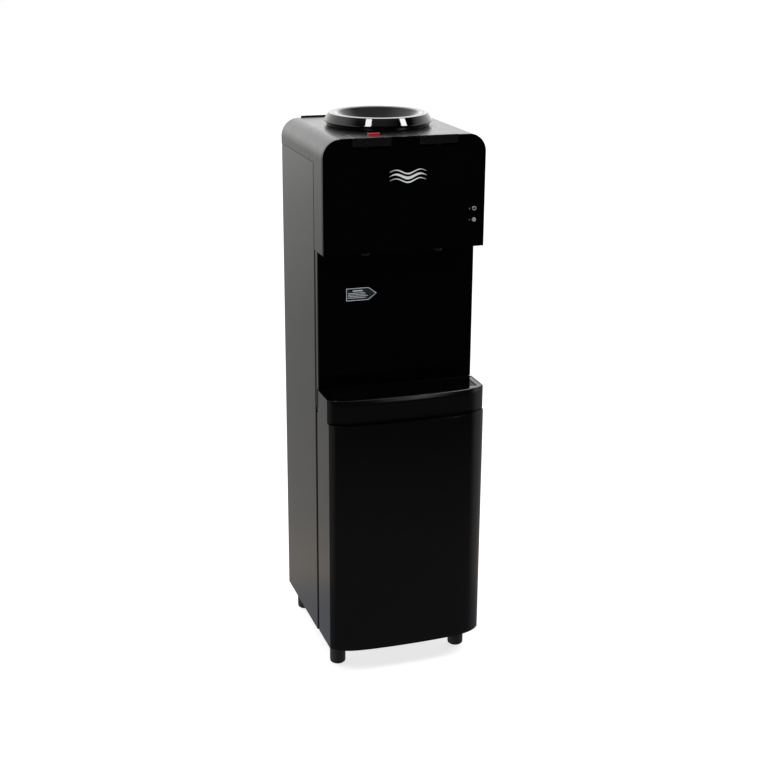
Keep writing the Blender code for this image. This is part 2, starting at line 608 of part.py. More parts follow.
def make_cabinet():
    """The storage liner, the door on its two pins, and the door's magnet catch."""
    half = HALF - FLANGE - GAP
    y = (Y_SEAM - 0.0005, Y_SEAM + 0.085)
    liner = box("cabinet_liner", (-half, half), y, (Z_BODY + 0.0005, Z_TRAY - 0.014), "satin_black")
    cut(liner, box("liner_hollow", (0.002 - half, half - 0.002), (y[0] - 0.002, y[1] - 0.002),
                   (Z_BODY + 0.0025, Z_TRAY - 0.016)))

    half, corner, crown = HALF - 0.0015, Y_FASCIA - DOOR_CORNER_PROUD, Y_FASCIA - DOOR_PROUD
    low, high = Z_BODY + GAP, Z_TRAY - GAP
    door = prism("cabinet_door", bowed_outline(half, Y_DOOR_BACK, corner, crown), low, high, "Z", "gloss_black",
                 (X_HINGE, Y_HINGE, low))
    cut(door, prism("door_hollow", bowed_outline(half, Y_DOOR_BACK + WALL, corner, crown, WALL),
                    low + WALL, high - WALL))
    cut(door, cylinder("door_bore", (X_HINGE, Y_HINGE, (low + high) / 2), HINGE_PIN_RADIUS + GAP, 2 * DOOR_HEIGHT))
    for name, span in (("lower", (FOOT_HEIGHT + 0.005, low + WALL - GAP)),
                       ("upper", (high - WALL + GAP, Z_TRAY + RAIL_HEIGHT))):
        cylinder(f"hinge_pin_{name}", (X_HINGE, Y_HINGE, sum(span) / 2), HINGE_PIN_RADIUS, span[1] - span[0],
                 "Z", "steel", segments=16)

    x = (0.005 - HALF, FLANGE - HALF)
    z = (Z_TRAY - 0.090, Z_TRAY - 0.055)
    box("door_magnet", x, (Y_DOOR_BACK + GAP, Y_SEAM - GAP), z, "matt_black")
    box("catch_plate", (GAP + WALL - half, x[1]), (Y_DOOR_BACK - 0.0015, Y_DOOR_BACK), z, "steel")


def make_collar():
    """The lift-off collar with its bowl and throat, and the probe that opens the bottle's cap."""
    bowl_low, rim_top = Z_TOP - 0.010, Z_TOP + COLLAR_HEIGHT
    bowl_rise = rim_top - 0.001 - bowl_low

    def bowl(inset):
        """Return the bowl's side from its rim down to the throat, in quarter-ellipse form."""
        steps = 5
        return [(COLLAR_BOWL - (COLLAR_BOWL - THROAT_RADIUS) * math.sin(math.pi / 2 * step / steps) + inset,
                 bowl_low + bowl_rise * (1 - math.sin(math.pi / 2 * step / steps)) ** 1.3 - inset)
                for step in range(steps + 1)]

    foot = Z_TOP - THROAT_DEPTH
    outer = [(COLLAR_RIM - 0.002, rim_top), (COLLAR_RIM + 0.001, rim_top - 0.001),
             (COLLAR_RADIUS - 0.002, Z_TOP + 0.015), (COLLAR_RADIUS, Z_TOP + 0.010),
             (COLLAR_RADIUS - 0.001, Z_TOP + 0.006), (COLLAR_BASE, Z_TOP + GAP + 0.0005),
             (COLLAR_SPIGOT, Z_TOP + GAP + 0.0005), (COLLAR_SPIGOT, Z_TOP - 0.014),
             (COLLAR_SPIGOT - WALL, Z_TOP - 0.014)]
    under = [point for point in bowl(WALL) if point[1] < Z_TOP + 0.012 and point[0] < COLLAR_SPIGOT - 2 * WALL]
    under.insert(0, (COLLAR_SPIGOT - WALL, Z_TOP + 0.006))
    throat = [(THROAT_RADIUS + WALL, foot), (THROAT_RADIUS - 0.004, foot), (THROAT_RADIUS - 0.004, foot + 0.002),
              (THROAT_RADIUS, foot + 0.002)]
    turned("bottle_collar", [*outer, *under, *throat, *reversed(bowl(0.0))], (0, Y_TANK, 0), "gloss_black",
           ROUND_STEPS)
    seat = foot + 0.002 + GAP
    turned("bottle_probe", [(0.003, seat + 0.034), (0.006, seat + 0.030), (0.008, seat + 0.003),
                            (THROAT_RADIUS - GAP, seat + 0.003), (THROAT_RADIUS - GAP, seat), (0.003, seat)],
           (0, Y_TANK, 0), "white_plastic", 20)


def make_cold_side():
    """The cold reservoir, its evaporator and jacket, the shelf under it and the hose to the tap."""
    low, high = Z_TANK, Z_TANK + TANK_HEIGHT
    tank = turned("cold_reservoir", [(TANK_RADIUS, high), (TANK_RADIUS, low), (0, low)], (0, Y_TANK, 0), "steel",
                  ROUND_STEPS, closed=False)
    wall = tank.modifiers.new("wall", "SOLIDIFY")
    wall.thickness = TANK_WALL
    wall.offset = -1
    turns, steps = 3, 16
    radius = (TANK_RADIUS + 2 * GAP + COIL_TUBE) / math.cos(math.pi / steps)
    helix = [(radius * math.cos(math.tau * step / steps), Y_TANK + radius * math.sin(math.tau * step / steps),
              low + 0.080 + 0.020 * step / steps) for step in range(turns * steps + 1)]
    tube("evaporator_coil", helix, COIL_TUBE, "copper")
    bore = radius / math.cos(math.pi / ROUND_STEPS) + COIL_TUBE + 0.001
    turned("reservoir_jacket", [(bore + JACKET_WALL, high - 0.002), (bore + JACKET_WALL, low + 0.010),
                                (bore, low + 0.010), (bore, high - 0.002)], (0, Y_TANK, 0), "foam", ROUND_STEPS)
    x_hose, y_hose = bore + JACKET_WALL + 0.006, Y_SEAM + 0.014
    shelf = box("tank_shelf", (0.0015 - HALF, HALF - 0.0015), (Y_SEAM + 0.0015, Y_SIDE_BACK - 0.0015),
                (Z_TANK_SHELF, Z_TANK_SHELF + 0.003), "steel")
    for name, spot in (("hose_left", (-x_hose, y_hose)), ("hose_right", (x_hose, y_hose)),
                       ("cold_outlet", (0.040, Y_TANK - 0.040)), ("feed_outlet", (0.020, Y_TANK + 0.020))):
        cut(shelf, cylinder(f"{name}_hole", (*spot, Z_TANK_SHELF), HOSE_RADIUS + 0.0055, 0.02))
    y_inlet, z_inlet = Y_TAP + TAP_BORE + 0.0150 + HOSE_END_GAP, Z_HOUSING + TAP_INLET_UP
    low -= HOSE_END_GAP
    tube("cold_hose", smooth_path([(0.040, Y_TANK - 0.040, low), (0.040, Y_TANK - 0.040, low - 0.007),
                                   (0.044, Y_TANK - 0.042, low - 0.024),
                                   (x_hose - 0.020, y_hose + 0.010, low - 0.032), (x_hose, y_hose, low - 0.005),
                                   (x_hose, y_hose - 0.002, z_inlet - 0.025), (x_hose - 0.018, y_hose - 0.012, z_inlet),
                                   (TAP_X, y_inlet + 0.014, z_inlet), (TAP_X, y_inlet + 0.006, z_inlet),
                                   (TAP_X, y_inlet, z_inlet)], 3),
         HOSE_RADIUS, "silicone")
    hot_top = Z_HOT_TANK + HOT_TANK_HEIGHT + HOSE_END_GAP
    tube("hot_hose", smooth_path([(-0.030, Y_TANK + HOT_TANK_BACK, hot_top),
                                  (-0.030, Y_TANK + HOT_TANK_BACK, hot_top + 0.007),
                                  (-0.036, Y_TANK + HOT_TANK_BACK - 0.006, hot_top + 0.022),
                                  (0.020 - x_hose, y_hose + 0.012, hot_top + 0.028), (-x_hose, y_hose, low + 0.010),
                                  (-x_hose, y_hose - 0.002, z_inlet - 0.025), (0.018 - x_hose, y_hose - 0.012, z_inlet),
                                  (-TAP_X, y_inlet + 0.014, z_inlet), (-TAP_X, y_inlet + 0.006, z_inlet),
                                  (-TAP_X, y_inlet, z_inlet)], 3),
         HOSE_RADIUS, "silicone")
    tube("feed_pipe", [(0.020, Y_TANK + 0.020, low), (0.020, Y_TANK + 0.020, hot_top)], HOSE_RADIUS, "silicone")


def make_hot_side():
    """The hot tank in its jacket and the drain pipe down to the back."""
    centre = (0, Y_TANK + HOT_TANK_BACK, 0)
    low, high = Z_HOT_TANK, Z_HOT_TANK + HOT_TANK_HEIGHT
    inside = HOT_TANK_RADIUS - TANK_WALL
    turned("hot_tank", [(0, low + TANK_WALL), (inside, low + TANK_WALL), (inside, high - TANK_WALL),
                        (0.004, high - TANK_WALL), (0.004, high), (HOT_TANK_RADIUS, high), (HOT_TANK_RADIUS, low),
                        (0, low)], centre, "steel", closed=False)
    bore = HOT_TANK_RADIUS + 0.001
    turned("hot_tank_jacket", [(bore + HOT_JACKET_WALL, high - 0.004), (bore + HOT_JACKET_WALL, low + 0.004),
                               (bore, low + 0.004), (bore, high - 0.004)], centre, "foam")
    back = Y_BACK - 0.003
    tube("drain_pipe", smooth_path([(0, centre[1], low - HOSE_END_GAP), (0, centre[1], low - 0.008),
                                    (0.001, centre[1] + 0.003, low - 0.030),
                                    (0.010, centre[1] + 0.030, low - 0.080), (DRAIN[0], back - 0.030, DRAIN[1] + 0.060),
                                    (DRAIN[0], back - 0.030, DRAIN[1] + 0.012), (DRAIN[0], back - 0.014, DRAIN[1]),
                                    (DRAIN[0], back - 0.006, DRAIN[1]), (DRAIN[0], back, DRAIN[1])], 3),
         HOSE_RADIUS, "silicone")


def make_cooling():
    """The compressor on its mounting plate and the condenser on the back."""
    x, y = 0, Y_SEAM + 0.160
    low = Z_BODY + 0.0005
    box("compressor_mount", (x - 0.075, x + 0.075), (y - 0.045, y + 0.045), (low, low + 0.003), "steel")
    low += 0.003 + GAP
    turned("compressor", [(0, low + 0.150), (0.030, low + 0.147), (0.047, low + 0.132), (0.053, low + 0.105),
                          (0.053, low + 0.078), (0.056, low + 0.074), (0.056, low + 0.068), (0.053, low + 0.064),
                          (0.053, low + 0.030), (0.042, low + 0.008), (0.030, low), (0, low)], (x, y, 0),
           "compressor_black", closed=False)

    y_coil = Y_BACK + COIL_PROUD - CONDENSER_TUBE
    pitch = (Z_CONDENSER[1] - Z_CONDENSER[0]) / (CONDENSER_RUNS - 1)
    reach = HALF - 0.020 - pitch / 2
    route = [(-reach, y_coil, Z_CONDENSER[0])]
    for run in range(CONDENSER_RUNS):
        sign, z = (1, -1)[run % 2], Z_CONDENSER[0] + pitch * run
        if run == CONDENSER_RUNS - 1:
            route.append((sign * reach, y_coil, z))
            break
        route += [(sign * (reach + pitch / 2 * math.sin(math.pi * step / 5)), y_coil,
                   z + pitch / 2 * (1 - math.cos(math.pi * step / 5))) for step in range(6)]
    tube("condenser_coil", route, CONDENSER_TUBE, "matt_black")
    box("condenser_strip", (-0.008, 0.008), (Y_BACK + GAP, y_coil - CONDENSER_TUBE - GAP),
        (Z_CONDENSER[0] - 0.012, Z_CONDENSER[1] + 0.012), "matt_black")


def make_back_fittings():
    """The two rocker switches in their bezel, the cord gland and the drain's cap."""
    x = (SWITCH_XS[0] - 0.012, SWITCH_XS[1] + 0.012)
    bezel = box("switch_bezel", x, (Y_BACK - 0.006, Y_BACK + 0.0025), (Z_SWITCH - 0.016, Z_SWITCH + 0.016),
                "satin_black")
    cut(bezel, boxes("rocker_holes", [((middle - SWITCH_WIDTH / 2 - GAP, middle + SWITCH_WIDTH / 2 + GAP),
                                       (Y_BACK - 0.010, Y_BACK + 0.010),
                                       (Z_SWITCH - SWITCH_HEIGHT / 2 - 0.001, Z_SWITCH + SWITCH_HEIGHT / 2 + 0.001))
                                      for middle in SWITCH_XS]))
    pivot = Vector((Y_BACK - 0.0015, Z_SWITCH))
    half = SWITCH_HEIGHT / 2
    outline = [(-0.004, -half + 0.0015), (0.0062, -half + 0.0004), (0.0046, 0), (0.0062, half - 0.0004),
               (-0.004, half - 0.0015)]
    turn = Matrix.Rotation(-SWITCH_TILT, 2)
    outline = [pivot + turn @ Vector(point) for point in outline]
    for name, middle, look in (("heating_switch", SWITCH_XS[0], "red_plastic"),
                               ("cooling_switch", SWITCH_XS[1], "green_plastic")):
        prism(name, [tuple(point) for point in outline], middle - SWITCH_WIDTH / 2, middle + SWITCH_WIDTH / 2, "X",
              look, (middle, *pivot))
    turned("cord_gland", [(0.0110, 0.0040), (0.0125, GAP), (0.0080, GAP), (0.0080, -0.0060), (0.0045, -0.0060),
                          (0.0045, 0.0040)], (GLAND[0], Y_BACK, GLAND[1]), "rubber", 20, axis="Y")
    turned("drain_cap", [(0, 0.0105), (0.0130, 0.0095), (0.0140, GAP), (0.0100, GAP), (0.0100, -0.0018),
                         (0, -0.0018)], (DRAIN[0], Y_BACK, DRAIN[1]), "white_plastic", 20, closed=False, axis="Y")


def shade_round_pieces():
    """Shade each part smooth, with its edges over 35 degrees sharp."""
    for obj in PARTS.objects:
        if obj.type == "MESH" and len(obj.data.polygons):
            obj.data.shade_smooth()
            obj.data.set_sharp_from_angle(angle=math.radians(35))


def build():
    """Build the whole dispenser."""
    make_feet()
    make_base_pan()
    make_side_panels()
    make_back_panel()
    make_upper_housing()
    make_fascia()
    make_badge()
    make_keys()
    for name, x in (("hot", -TAP_X), ("cold", TAP_X)):
        make_tap(name, x)
    make_underside()
    make_bay()
    make_tray()
    make_cabinet()
    make_collar()
    make_cold_side()
    make_hot_side()
    make_cooling()
    make_back_fittings()
    shade_round_pieces()


build()
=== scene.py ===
"""Looks of a floor-standing water dispenser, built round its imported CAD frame.

Everything is in metres in the frame of the CAD model: +Z up, the floor at z = 0, the front towards -Y.
"""

import logging
import math
from collections.abc import Iterable, Sequence
from dataclasses import dataclass
from enum import Enum

import bmesh
import bpy
from mathutils import Matrix, Vector


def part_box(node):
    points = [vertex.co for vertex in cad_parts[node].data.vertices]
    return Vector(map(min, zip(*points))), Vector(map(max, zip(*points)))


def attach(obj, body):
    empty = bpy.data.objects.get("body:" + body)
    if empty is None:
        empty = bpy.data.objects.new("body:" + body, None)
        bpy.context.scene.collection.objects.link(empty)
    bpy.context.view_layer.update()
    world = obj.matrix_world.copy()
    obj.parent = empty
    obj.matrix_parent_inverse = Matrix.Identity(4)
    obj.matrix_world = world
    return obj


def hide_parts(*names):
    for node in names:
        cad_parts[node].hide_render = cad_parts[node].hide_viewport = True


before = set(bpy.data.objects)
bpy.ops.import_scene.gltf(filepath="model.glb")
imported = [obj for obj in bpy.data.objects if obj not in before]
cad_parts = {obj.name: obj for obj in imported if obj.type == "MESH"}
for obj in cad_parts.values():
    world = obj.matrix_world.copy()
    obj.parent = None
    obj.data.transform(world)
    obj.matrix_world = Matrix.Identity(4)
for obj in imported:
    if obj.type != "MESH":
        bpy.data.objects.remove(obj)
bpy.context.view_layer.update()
LOG = logging.getLogger("water_dispenser")

Flat = tuple[float, float]
Spot = tuple[float, float, float]
Span = tuple[float, float]

CABINET = "cabinet"
MERGE = 1e-6
CAD_MERGE = 1e-5
FLAT_ANGLE = 0.6  # degrees between faces of the CAD that count as one flat face
KEY_BORE_RADIUS = 0.0018
SHARP_ANGLE = 38.0  # degrees between faces that keep a sharp edge in the shading
ROUND_STEPS = 96
SMALL_STEPS = 40


class Axis(Enum):
    """Directions that a turned or extruded piece runs along."""

    X = "X"
    Y = "Y"
    Z = "Z"


class Skin(Enum):
    """Ways in which a surface is textured."""

    MOULDED = "moulded"
    BRUSHED = "brushed"
    BEADS = "beads"


# Shader groups that several finishes share


class GroupTree:
    """A shader node group under construction, with its named sockets."""

    def __init__(self, name: str, inputs: dict[str, float | tuple], outputs: dict[str, str]) -> None:
        """Start a group.

        Args:
            name: Name of the group.
            inputs: Default of each input; three numbers make it a colour.
            outputs: Socket type of each output, without its NodeSocket prefix.
        """
        self.tree = bpy.data.node_groups.new(name, "ShaderNodeTree")
        for label, value in inputs.items():
            kind = "NodeSocketColor" if isinstance(value, tuple) else "NodeSocketFloat"
            socket = self.tree.interface.new_socket(name=label, in_out="INPUT", socket_type=kind)
            socket.default_value = (*value, 1.0) if isinstance(value, tuple) else value
        for label, kind in outputs.items():
            self.tree.interface.new_socket(name=label, in_out="OUTPUT", socket_type=f"NodeSocket{kind}")
        self.inputs = self.tree.nodes.new("NodeGroupInput").outputs
        self.results = self.tree.nodes.new("NodeGroupOutput").inputs

    def node(self, kind: str, links: dict[str | int, object], **settings: object) -> bpy.types.Node:
        """Add a node to the group, as add_node does."""
        return add_node(self.tree, kind, links, **settings)

    def result(self, label: str, socket: bpy.types.NodeSocket) -> None:
        """Send a socket to one of the group's outputs."""
        self.tree.links.new(socket, self.results[label])

    def place(self, stretch: Spot = (1.0, 1.0, 1.0)) -> bpy.types.NodeSocket:
        """Return Object coordinates, scaled unevenly where the grain runs one way."""
        spot = self.node("TexCoord", {}).outputs["Object"]
        return self.node("Mapping", {"Vector": spot, "Scale": stretch}).outputs["Vector"]


def add_node(tree: bpy.types.NodeTree, kind: str, links: dict[str | int, object],
             **settings: object) -> bpy.types.Node:
    """Add a shader node.

    Args:
        tree: The node tree.
        kind: Node type without its ShaderNode prefix.
        links: For each input, a socket to link or a value to set.
        **settings: Attributes of the node itself.

    Returns:
        The new node.
    """
    node = tree.nodes.new(f"ShaderNode{kind}")
    for label, value in settings.items():
        setattr(node, label, value)
    for key, value in links.items():
        if isinstance(value, bpy.types.NodeSocket):
            tree.links.new(value, node.inputs[key])
        else:
            node.inputs[key].default_value = value
    return node


def moulded_surface() -> bpy.types.NodeTree:
    """Build the group for moulded or painted surfaces: fine texture over a slow waviness, and faint smudges."""
    group = GroupTree("moulded_surface",
                      {"Roughness": 0.1, "Smudge": 0.03, "Texture Scale": 900.0, "Texture": 0.1, "Waviness": 0.02},
                      {"Roughness": "Float", "Normal": "Vector"})
    spot = group.place()
    cloud = group.node("TexNoise", {"Vector": spot, "Scale": 9.0, "Detail": 3.0, "Roughness": 0.6})
    streak = group.node("TexNoise", {"Vector": group.place((60.0, 60.0, 7.0)), "Scale": 1.0, "Detail": 2.0})
    both = group.node("Math", {0: cloud.outputs["Fac"], 1: streak.outputs["Fac"]}, operation="MULTIPLY")
    smudge = group.node("MapRange", {"Value": both.outputs[0], "From Min": 0.2, "From Max": 0.5})
    rough = group.node("Math", {0: smudge.outputs[0], 1: group.inputs["Smudge"], 2: group.inputs["Roughness"]},
                       operation="MULTIPLY_ADD")
    slow = group.node("TexNoise", {"Vector": spot, "Scale": 14.0, "Detail": 1.0})
    wave = group.node("Bump", {"Height": slow.outputs["Fac"], "Strength": group.inputs["Waviness"], "Distance": 0.004})
    fine = group.node("TexNoise", {"Vector": spot, "Scale": group.inputs["Texture Scale"], "Detail": 2.0})
    skin = group.node("Bump", {"Height": fine.outputs["Fac"], "Strength": group.inputs["Texture"], "Distance": 0.0002,
                               "Normal": wave.outputs["Normal"]})
    group.result("Roughness", rough.outputs[0])
    group.result("Normal", skin.outputs["Normal"])
    return group.tree


def brushed_surface() -> bpy.types.NodeTree:
    """Build the group for bare metal: drawn lines along X, and stains that change the roughness."""
    group = GroupTree("brushed_surface", {"Roughness": 0.3, "Spread": 0.15, "Line Scale": 900.0, "Lines": 0.25},
                      {"Roughness": "Float", "Normal": "Vector"})
    lines = group.node("TexNoise", {"Vector": group.place((0.02, 1.0, 1.0)), "Scale": group.inputs["Line Scale"],
                                    "Detail": 3.0})
    stain = group.node("TexNoise", {"Vector": group.place(), "Scale": 35.0, "Detail": 5.0, "Roughness": 0.65})
    rough = group.node("Math", {0: stain.outputs["Fac"], 1: group.inputs["Spread"], 2: group.inputs["Roughness"]},
                       operation="MULTIPLY_ADD")
    bump = group.node("Bump", {"Height": lines.outputs["Fac"], "Strength": group.inputs["Lines"], "Distance": 0.0001})
    group.result("Roughness", rough.outputs[0])
    group.result("Normal", bump.outputs["Normal"])
    return group.tree


def bead_surface() -> bpy.types.NodeTree:
    """Build the group for expanded foam: pressed beads with dark joints between them."""
    group = GroupTree("bead_surface", {"Roughness": 0.85, "Bead Scale": 260.0, "Depth": 0.6},
                      {"Roughness": "Float", "Normal": "Vector", "Joint": "Float"})
    cells = group.node("TexVoronoi", {"Vector": group.place(), "Scale": group.inputs["Bead Scale"]},
                       feature="DISTANCE_TO_EDGE")
    joint = group.node("MapRange", {"Value": cells.outputs["Distance"], "From Min": 0.0, "From Max": 0.12})
    bump = group.node("Bump", {"Height": joint.outputs[0], "Strength": group.inputs["Depth"], "Distance": 0.0004})
    rough = group.node("Math", {0: joint.outputs[0], 1: -0.05, 2: group.inputs["Roughness"]},
                       operation="MULTIPLY_ADD")
    group.result("Roughness", rough.outputs[0])
    group.result("Normal", bump.outputs["Normal"])
    group.result("Joint", joint.outputs[0])
    return group.tree


def settled_tint() -> bpy.types.NodeTree:
    """Build the group for colour: a slow drift between two tones, and dust on what faces up."""
    group = GroupTree("settled_tint",
                      {"Colour": (0.5, 0.5, 0.5), "Second Colour": (0.4, 0.4, 0.4), "Drift": 0.5, "Drift Scale": 12.0,
                       "Dust": 0.0, "Dust Colour": (0.33, 0.31, 0.28)}, {"Colour": "Color"})
    spot = group.place()
    cloud = group.node("TexNoise", {"Vector": spot, "Scale": group.inputs["Drift Scale"], "Detail": 4.0})
    share = group.node("Math", {0: cloud.outputs["Fac"], 1: group.inputs["Drift"]}, operation="MULTIPLY")
    tint = group.node("Mix", {0: share.outputs[0], 6: group.inputs["Colour"], 7: group.inputs["Second Colour"]},
                      data_type="RGBA")
    up = group.node("SeparateXYZ", {"Vector": group.node("NewGeometry", {}).outputs["Normal"]})
    facing = group.node("MapRange", {"Value": up.outputs["Z"], "From Min": 0.3, "From Max": 0.95})
    specks = group.node("TexNoise", {"Vector": spot, "Scale": 420.0, "Detail": 4.0})
    lying = group.node("MapRange", {"Value": specks.outputs["Fac"], "From Min": 0.45, "From Max": 0.75})
    dust = group.node("Math", {0: facing.outputs[0], 1: lying.outputs[0]}, operation="MULTIPLY")
    dust = group.node("Math", {0: dust.outputs[0], 1: group.inputs["Dust"]}, operation="MULTIPLY")
    mixed = group.node("Mix", {0: dust.outputs[0], 6: tint.outputs[2], 7: group.inputs["Dust Colour"]},
                       data_type="RGBA")
    group.result("Colour", mixed.outputs[2])
    return group.tree


SURFACE_GROUPS = {Skin.MOULDED: moulded_surface, Skin.BRUSHED: brushed_surface, Skin.BEADS: bead_surface}
BUILT_GROUPS: dict[str, bpy.types.NodeTree] = {}


def shared_group(maker: object) -> bpy.types.NodeTree:
    """Return the node group of a maker function, built on its first use."""
    name = maker.__name__
    if name not in BUILT_GROUPS:
        BUILT_GROUPS[name] = maker()
    return BUILT_GROUPS[name]


@dataclass(frozen=True)
class Finish:
    """One finish of the dispenser: the name of its slot, its two tones and how its surface is textured.

    The skin_values set the inputs of the surface group, and shader_values the plain sockets of the shader.
    """

    name: str
    slot: str
    colour: Spot
    second: Spot
    skin: Skin = Skin.MOULDED
    drift: float = 0.6
    drift_scale: float = 12.0
    dust: float = 0.0
    skin_values: tuple[tuple[str, float], ...] = ()
    shader_values: tuple[tuple[str, float], ...] = ()

    def material(self) -> bpy.types.Material:
        """Return the material of this finish, built on its first use."""
        if self.name in bpy.data.materials:
            return bpy.data.materials[self.name]
        material = bpy.data.materials.new(self.name)
        material.use_nodes = True
        tree = material.node_tree
        shader = tree.nodes["Principled BSDF"]
        tint = add_node(tree, "Group", {}, node_tree=shared_group(settled_tint))
        for label, value in (("Colour", (*self.colour, 1.0)), ("Second Colour", (*self.second, 1.0)),
                             ("Drift", self.drift), ("Drift Scale", self.drift_scale), ("Dust", self.dust)):
            tint.inputs[label].default_value = value
        surface = add_node(tree, "Group", {}, node_tree=shared_group(SURFACE_GROUPS[self.skin]))
        for label, value in self.skin_values:
            surface.inputs[label].default_value = value
        for label, value in self.shader_values:
            shader.inputs[label].default_value = value
        tree.links.new(tint.outputs["Colour"], shader.inputs["Base Color"])
        tree.links.new(surface.outputs["Roughness"], shader.inputs["Roughness"])
        tree.links.new(surface.outputs["Normal"], shader.inputs["Normal"])
        return material


GLOSS_BLACK = Finish(
    "gloss_black_moulding", "gloss_black", (0.0007, 0.0007, 0.0008), (0.0012, 0.0012, 0.0013), dust=0.006,
    skin_values=(("Roughness", 0.045), ("Smudge", 0.030), ("Texture Scale", 1400.0), ("Texture", 0.012),
                 ("Waviness", 0.015)),
    shader_values=(("IOR", 1.5),))
COVER_BLACK = Finish(
    "semi_gloss_cover", "gloss_black", (0.0030, 0.0030, 0.0031), (0.0044, 0.0044, 0.0045), dust=0.012,
    skin_values=(("Roughness", 0.25), ("Smudge", 0.05), ("Texture Scale", 1500.0), ("Texture", 0.08),
                 ("Waviness", 0.0)),
    shader_values=(("IOR", 1.5),))
TRAY_BLACK = Finish(
    "semi_gloss_tray", "gloss_black", (0.0014, 0.0014, 0.0015), (0.0022, 0.0022, 0.0023), dust=0.010,
    skin_values=(("Roughness", 0.17), ("Smudge", 0.05), ("Texture Scale", 1500.0), ("Texture", 0.04),
                 ("Waviness", 0.0)),
    shader_values=(("IOR", 1.5),))
COLLAR_BLACK = Finish(
    "polished_black_collar", "gloss_black", (0.0010, 0.0010, 0.0011), (0.0016, 0.0016, 0.0017), dust=0.004,
    skin_values=(("Roughness", 0.030), ("Smudge", 0.020), ("Texture Scale", 1400.0), ("Texture", 0.006),
                 ("Waviness", 0.0)),
    shader_values=(("IOR", 1.52),))
PAINTED_SHEET = Finish(
    "black_painted_sheet", "painted_sheet", (0.0030, 0.0030, 0.0030), (0.0050, 0.0049, 0.0047), drift_scale=5.0,
    dust=0.010,
    skin_values=(("Roughness", 0.10), ("Smudge", 0.05), ("Texture Scale", 520.0), ("Texture", 0.10),
                 ("Waviness", 0.03)),
    shader_values=(("IOR", 1.5),))
BACK_SHEET = Finish(
    "black_satin_sheet", "painted_sheet", (0.0060, 0.0060, 0.0062), (0.0110, 0.0108, 0.0104), drift_scale=7.0,
    dust=0.05,
    skin_values=(("Roughness", 0.32), ("Smudge", 0.10), ("Texture Scale", 800.0), ("Texture", 0.30),
                 ("Waviness", 0.05)))
SATIN_BLACK = Finish(
    "satin_black_moulding", "satin_black", (0.0060, 0.0060, 0.0062), (0.0100, 0.0100, 0.0102), dust=0.03,
    skin_values=(("Roughness", 0.36), ("Smudge", 0.10), ("Texture Scale", 1600.0), ("Texture", 0.45),
                 ("Waviness", 0.0)))
MATT_BLACK = Finish(
    "matt_black_paint", "matt_black", (0.0120, 0.0120, 0.0122), (0.0220, 0.0215, 0.0205), dust=0.30,
    drift_scale=40.0,
    skin_values=(("Roughness", 0.58), ("Smudge", 0.15), ("Texture Scale", 1100.0), ("Texture", 0.5)))
RUBBER = Finish(
    "black_foot_rubber", "rubber", (0.0085, 0.0085, 0.0085), (0.0160, 0.0155, 0.0150), dust=0.05, drift_scale=60.0,
    skin_values=(("Roughness", 0.62), ("Smudge", 0.2), ("Texture Scale", 2200.0), ("Texture", 0.6)))
RED_PLASTIC = Finish(
    "red_lock_plastic", "red_plastic", (0.660, 0.018, 0.030), (0.520, 0.012, 0.022), drift_scale=30.0,
    skin_values=(("Roughness", 0.22), ("Smudge", 0.10), ("Texture Scale", 1500.0), ("Texture", 0.15)),
    shader_values=(("Subsurface Weight", 0.05),))
GREEN_PLASTIC = Finish(
    "green_rocker_plastic", "green_plastic", (0.020, 0.300, 0.080), (0.014, 0.230, 0.060), drift_scale=30.0,
    skin_values=(("Roughness", 0.25), ("Smudge", 0.10), ("Texture Scale", 1500.0), ("Texture", 0.15)))
CLEAR_LENS = Finish(
    "frosted_lens", "lens", (0.26, 0.27, 0.28), (0.18, 0.19, 0.20), drift_scale=90.0,
    skin_values=(("Roughness", 0.12), ("Smudge", 0.08), ("Texture Scale", 1800.0), ("Texture", 0.1)),
    shader_values=(("Coat Weight", 0.6), ("Coat Roughness", 0.05)))
SILVER_FOIL = Finish(
    "silver_badge_foil", "silver_foil", (0.86, 0.87, 0.88), (0.74, 0.75, 0.77), drift_scale=55.0,
    skin=Skin.BRUSHED,
    skin_values=(("Roughness", 0.30), ("Spread", 0.12), ("Line Scale", 1500.0), ("Lines", 0.10)),
    shader_values=(("Metallic", 0.35), ("Coat Weight", 0.3)))
LABEL_FILM = Finish(
    "dark_label_film", "label_film", (0.0090, 0.0120, 0.0140), (0.0140, 0.0180, 0.0200), drift_scale=50.0,
    skin_values=(("Roughness", 0.26), ("Smudge", 0.1), ("Texture Scale", 2000.0), ("Texture", 0.1)))
PALE_INK = Finish(
    "pale_label_ink", "label_film", (0.62, 0.66, 0.68), (0.42, 0.48, 0.52), drift_scale=300.0,
    skin_values=(("Roughness", 0.45), ("Smudge", 0.1), ("Texture Scale", 2500.0), ("Texture", 0.2)))
DIM_INK = Finish(
    "grey_printed_mark", "label_film", (0.11, 0.115, 0.12), (0.07, 0.075, 0.08), drift_scale=300.0,
    skin_values=(("Roughness", 0.45), ("Smudge", 0.1), ("Texture Scale", 2500.0), ("Texture", 0.2)))
STEEL = Finish(
    "zinc_plated_steel", "steel", (0.56, 0.57, 0.58), (0.42, 0.42, 0.41), skin=Skin.BRUSHED, drift_scale=30.0,
    dust=0.10, skin_values=(("Roughness", 0.28), ("Spread", 0.18), ("Line Scale", 1000.0), ("Lines", 0.20)),
    shader_values=(("Metallic", 1.0),))
SPRING_STEEL = Finish(
    "spring_wire", "spring_steel", (0.45, 0.45, 0.46), (0.30, 0.30, 0.31), skin=Skin.BRUSHED, drift_scale=120.0,
    skin_values=(("Roughness", 0.30), ("Spread", 0.15), ("Line Scale", 3000.0), ("Lines", 0.15)),
    shader_values=(("Metallic", 1.0),))
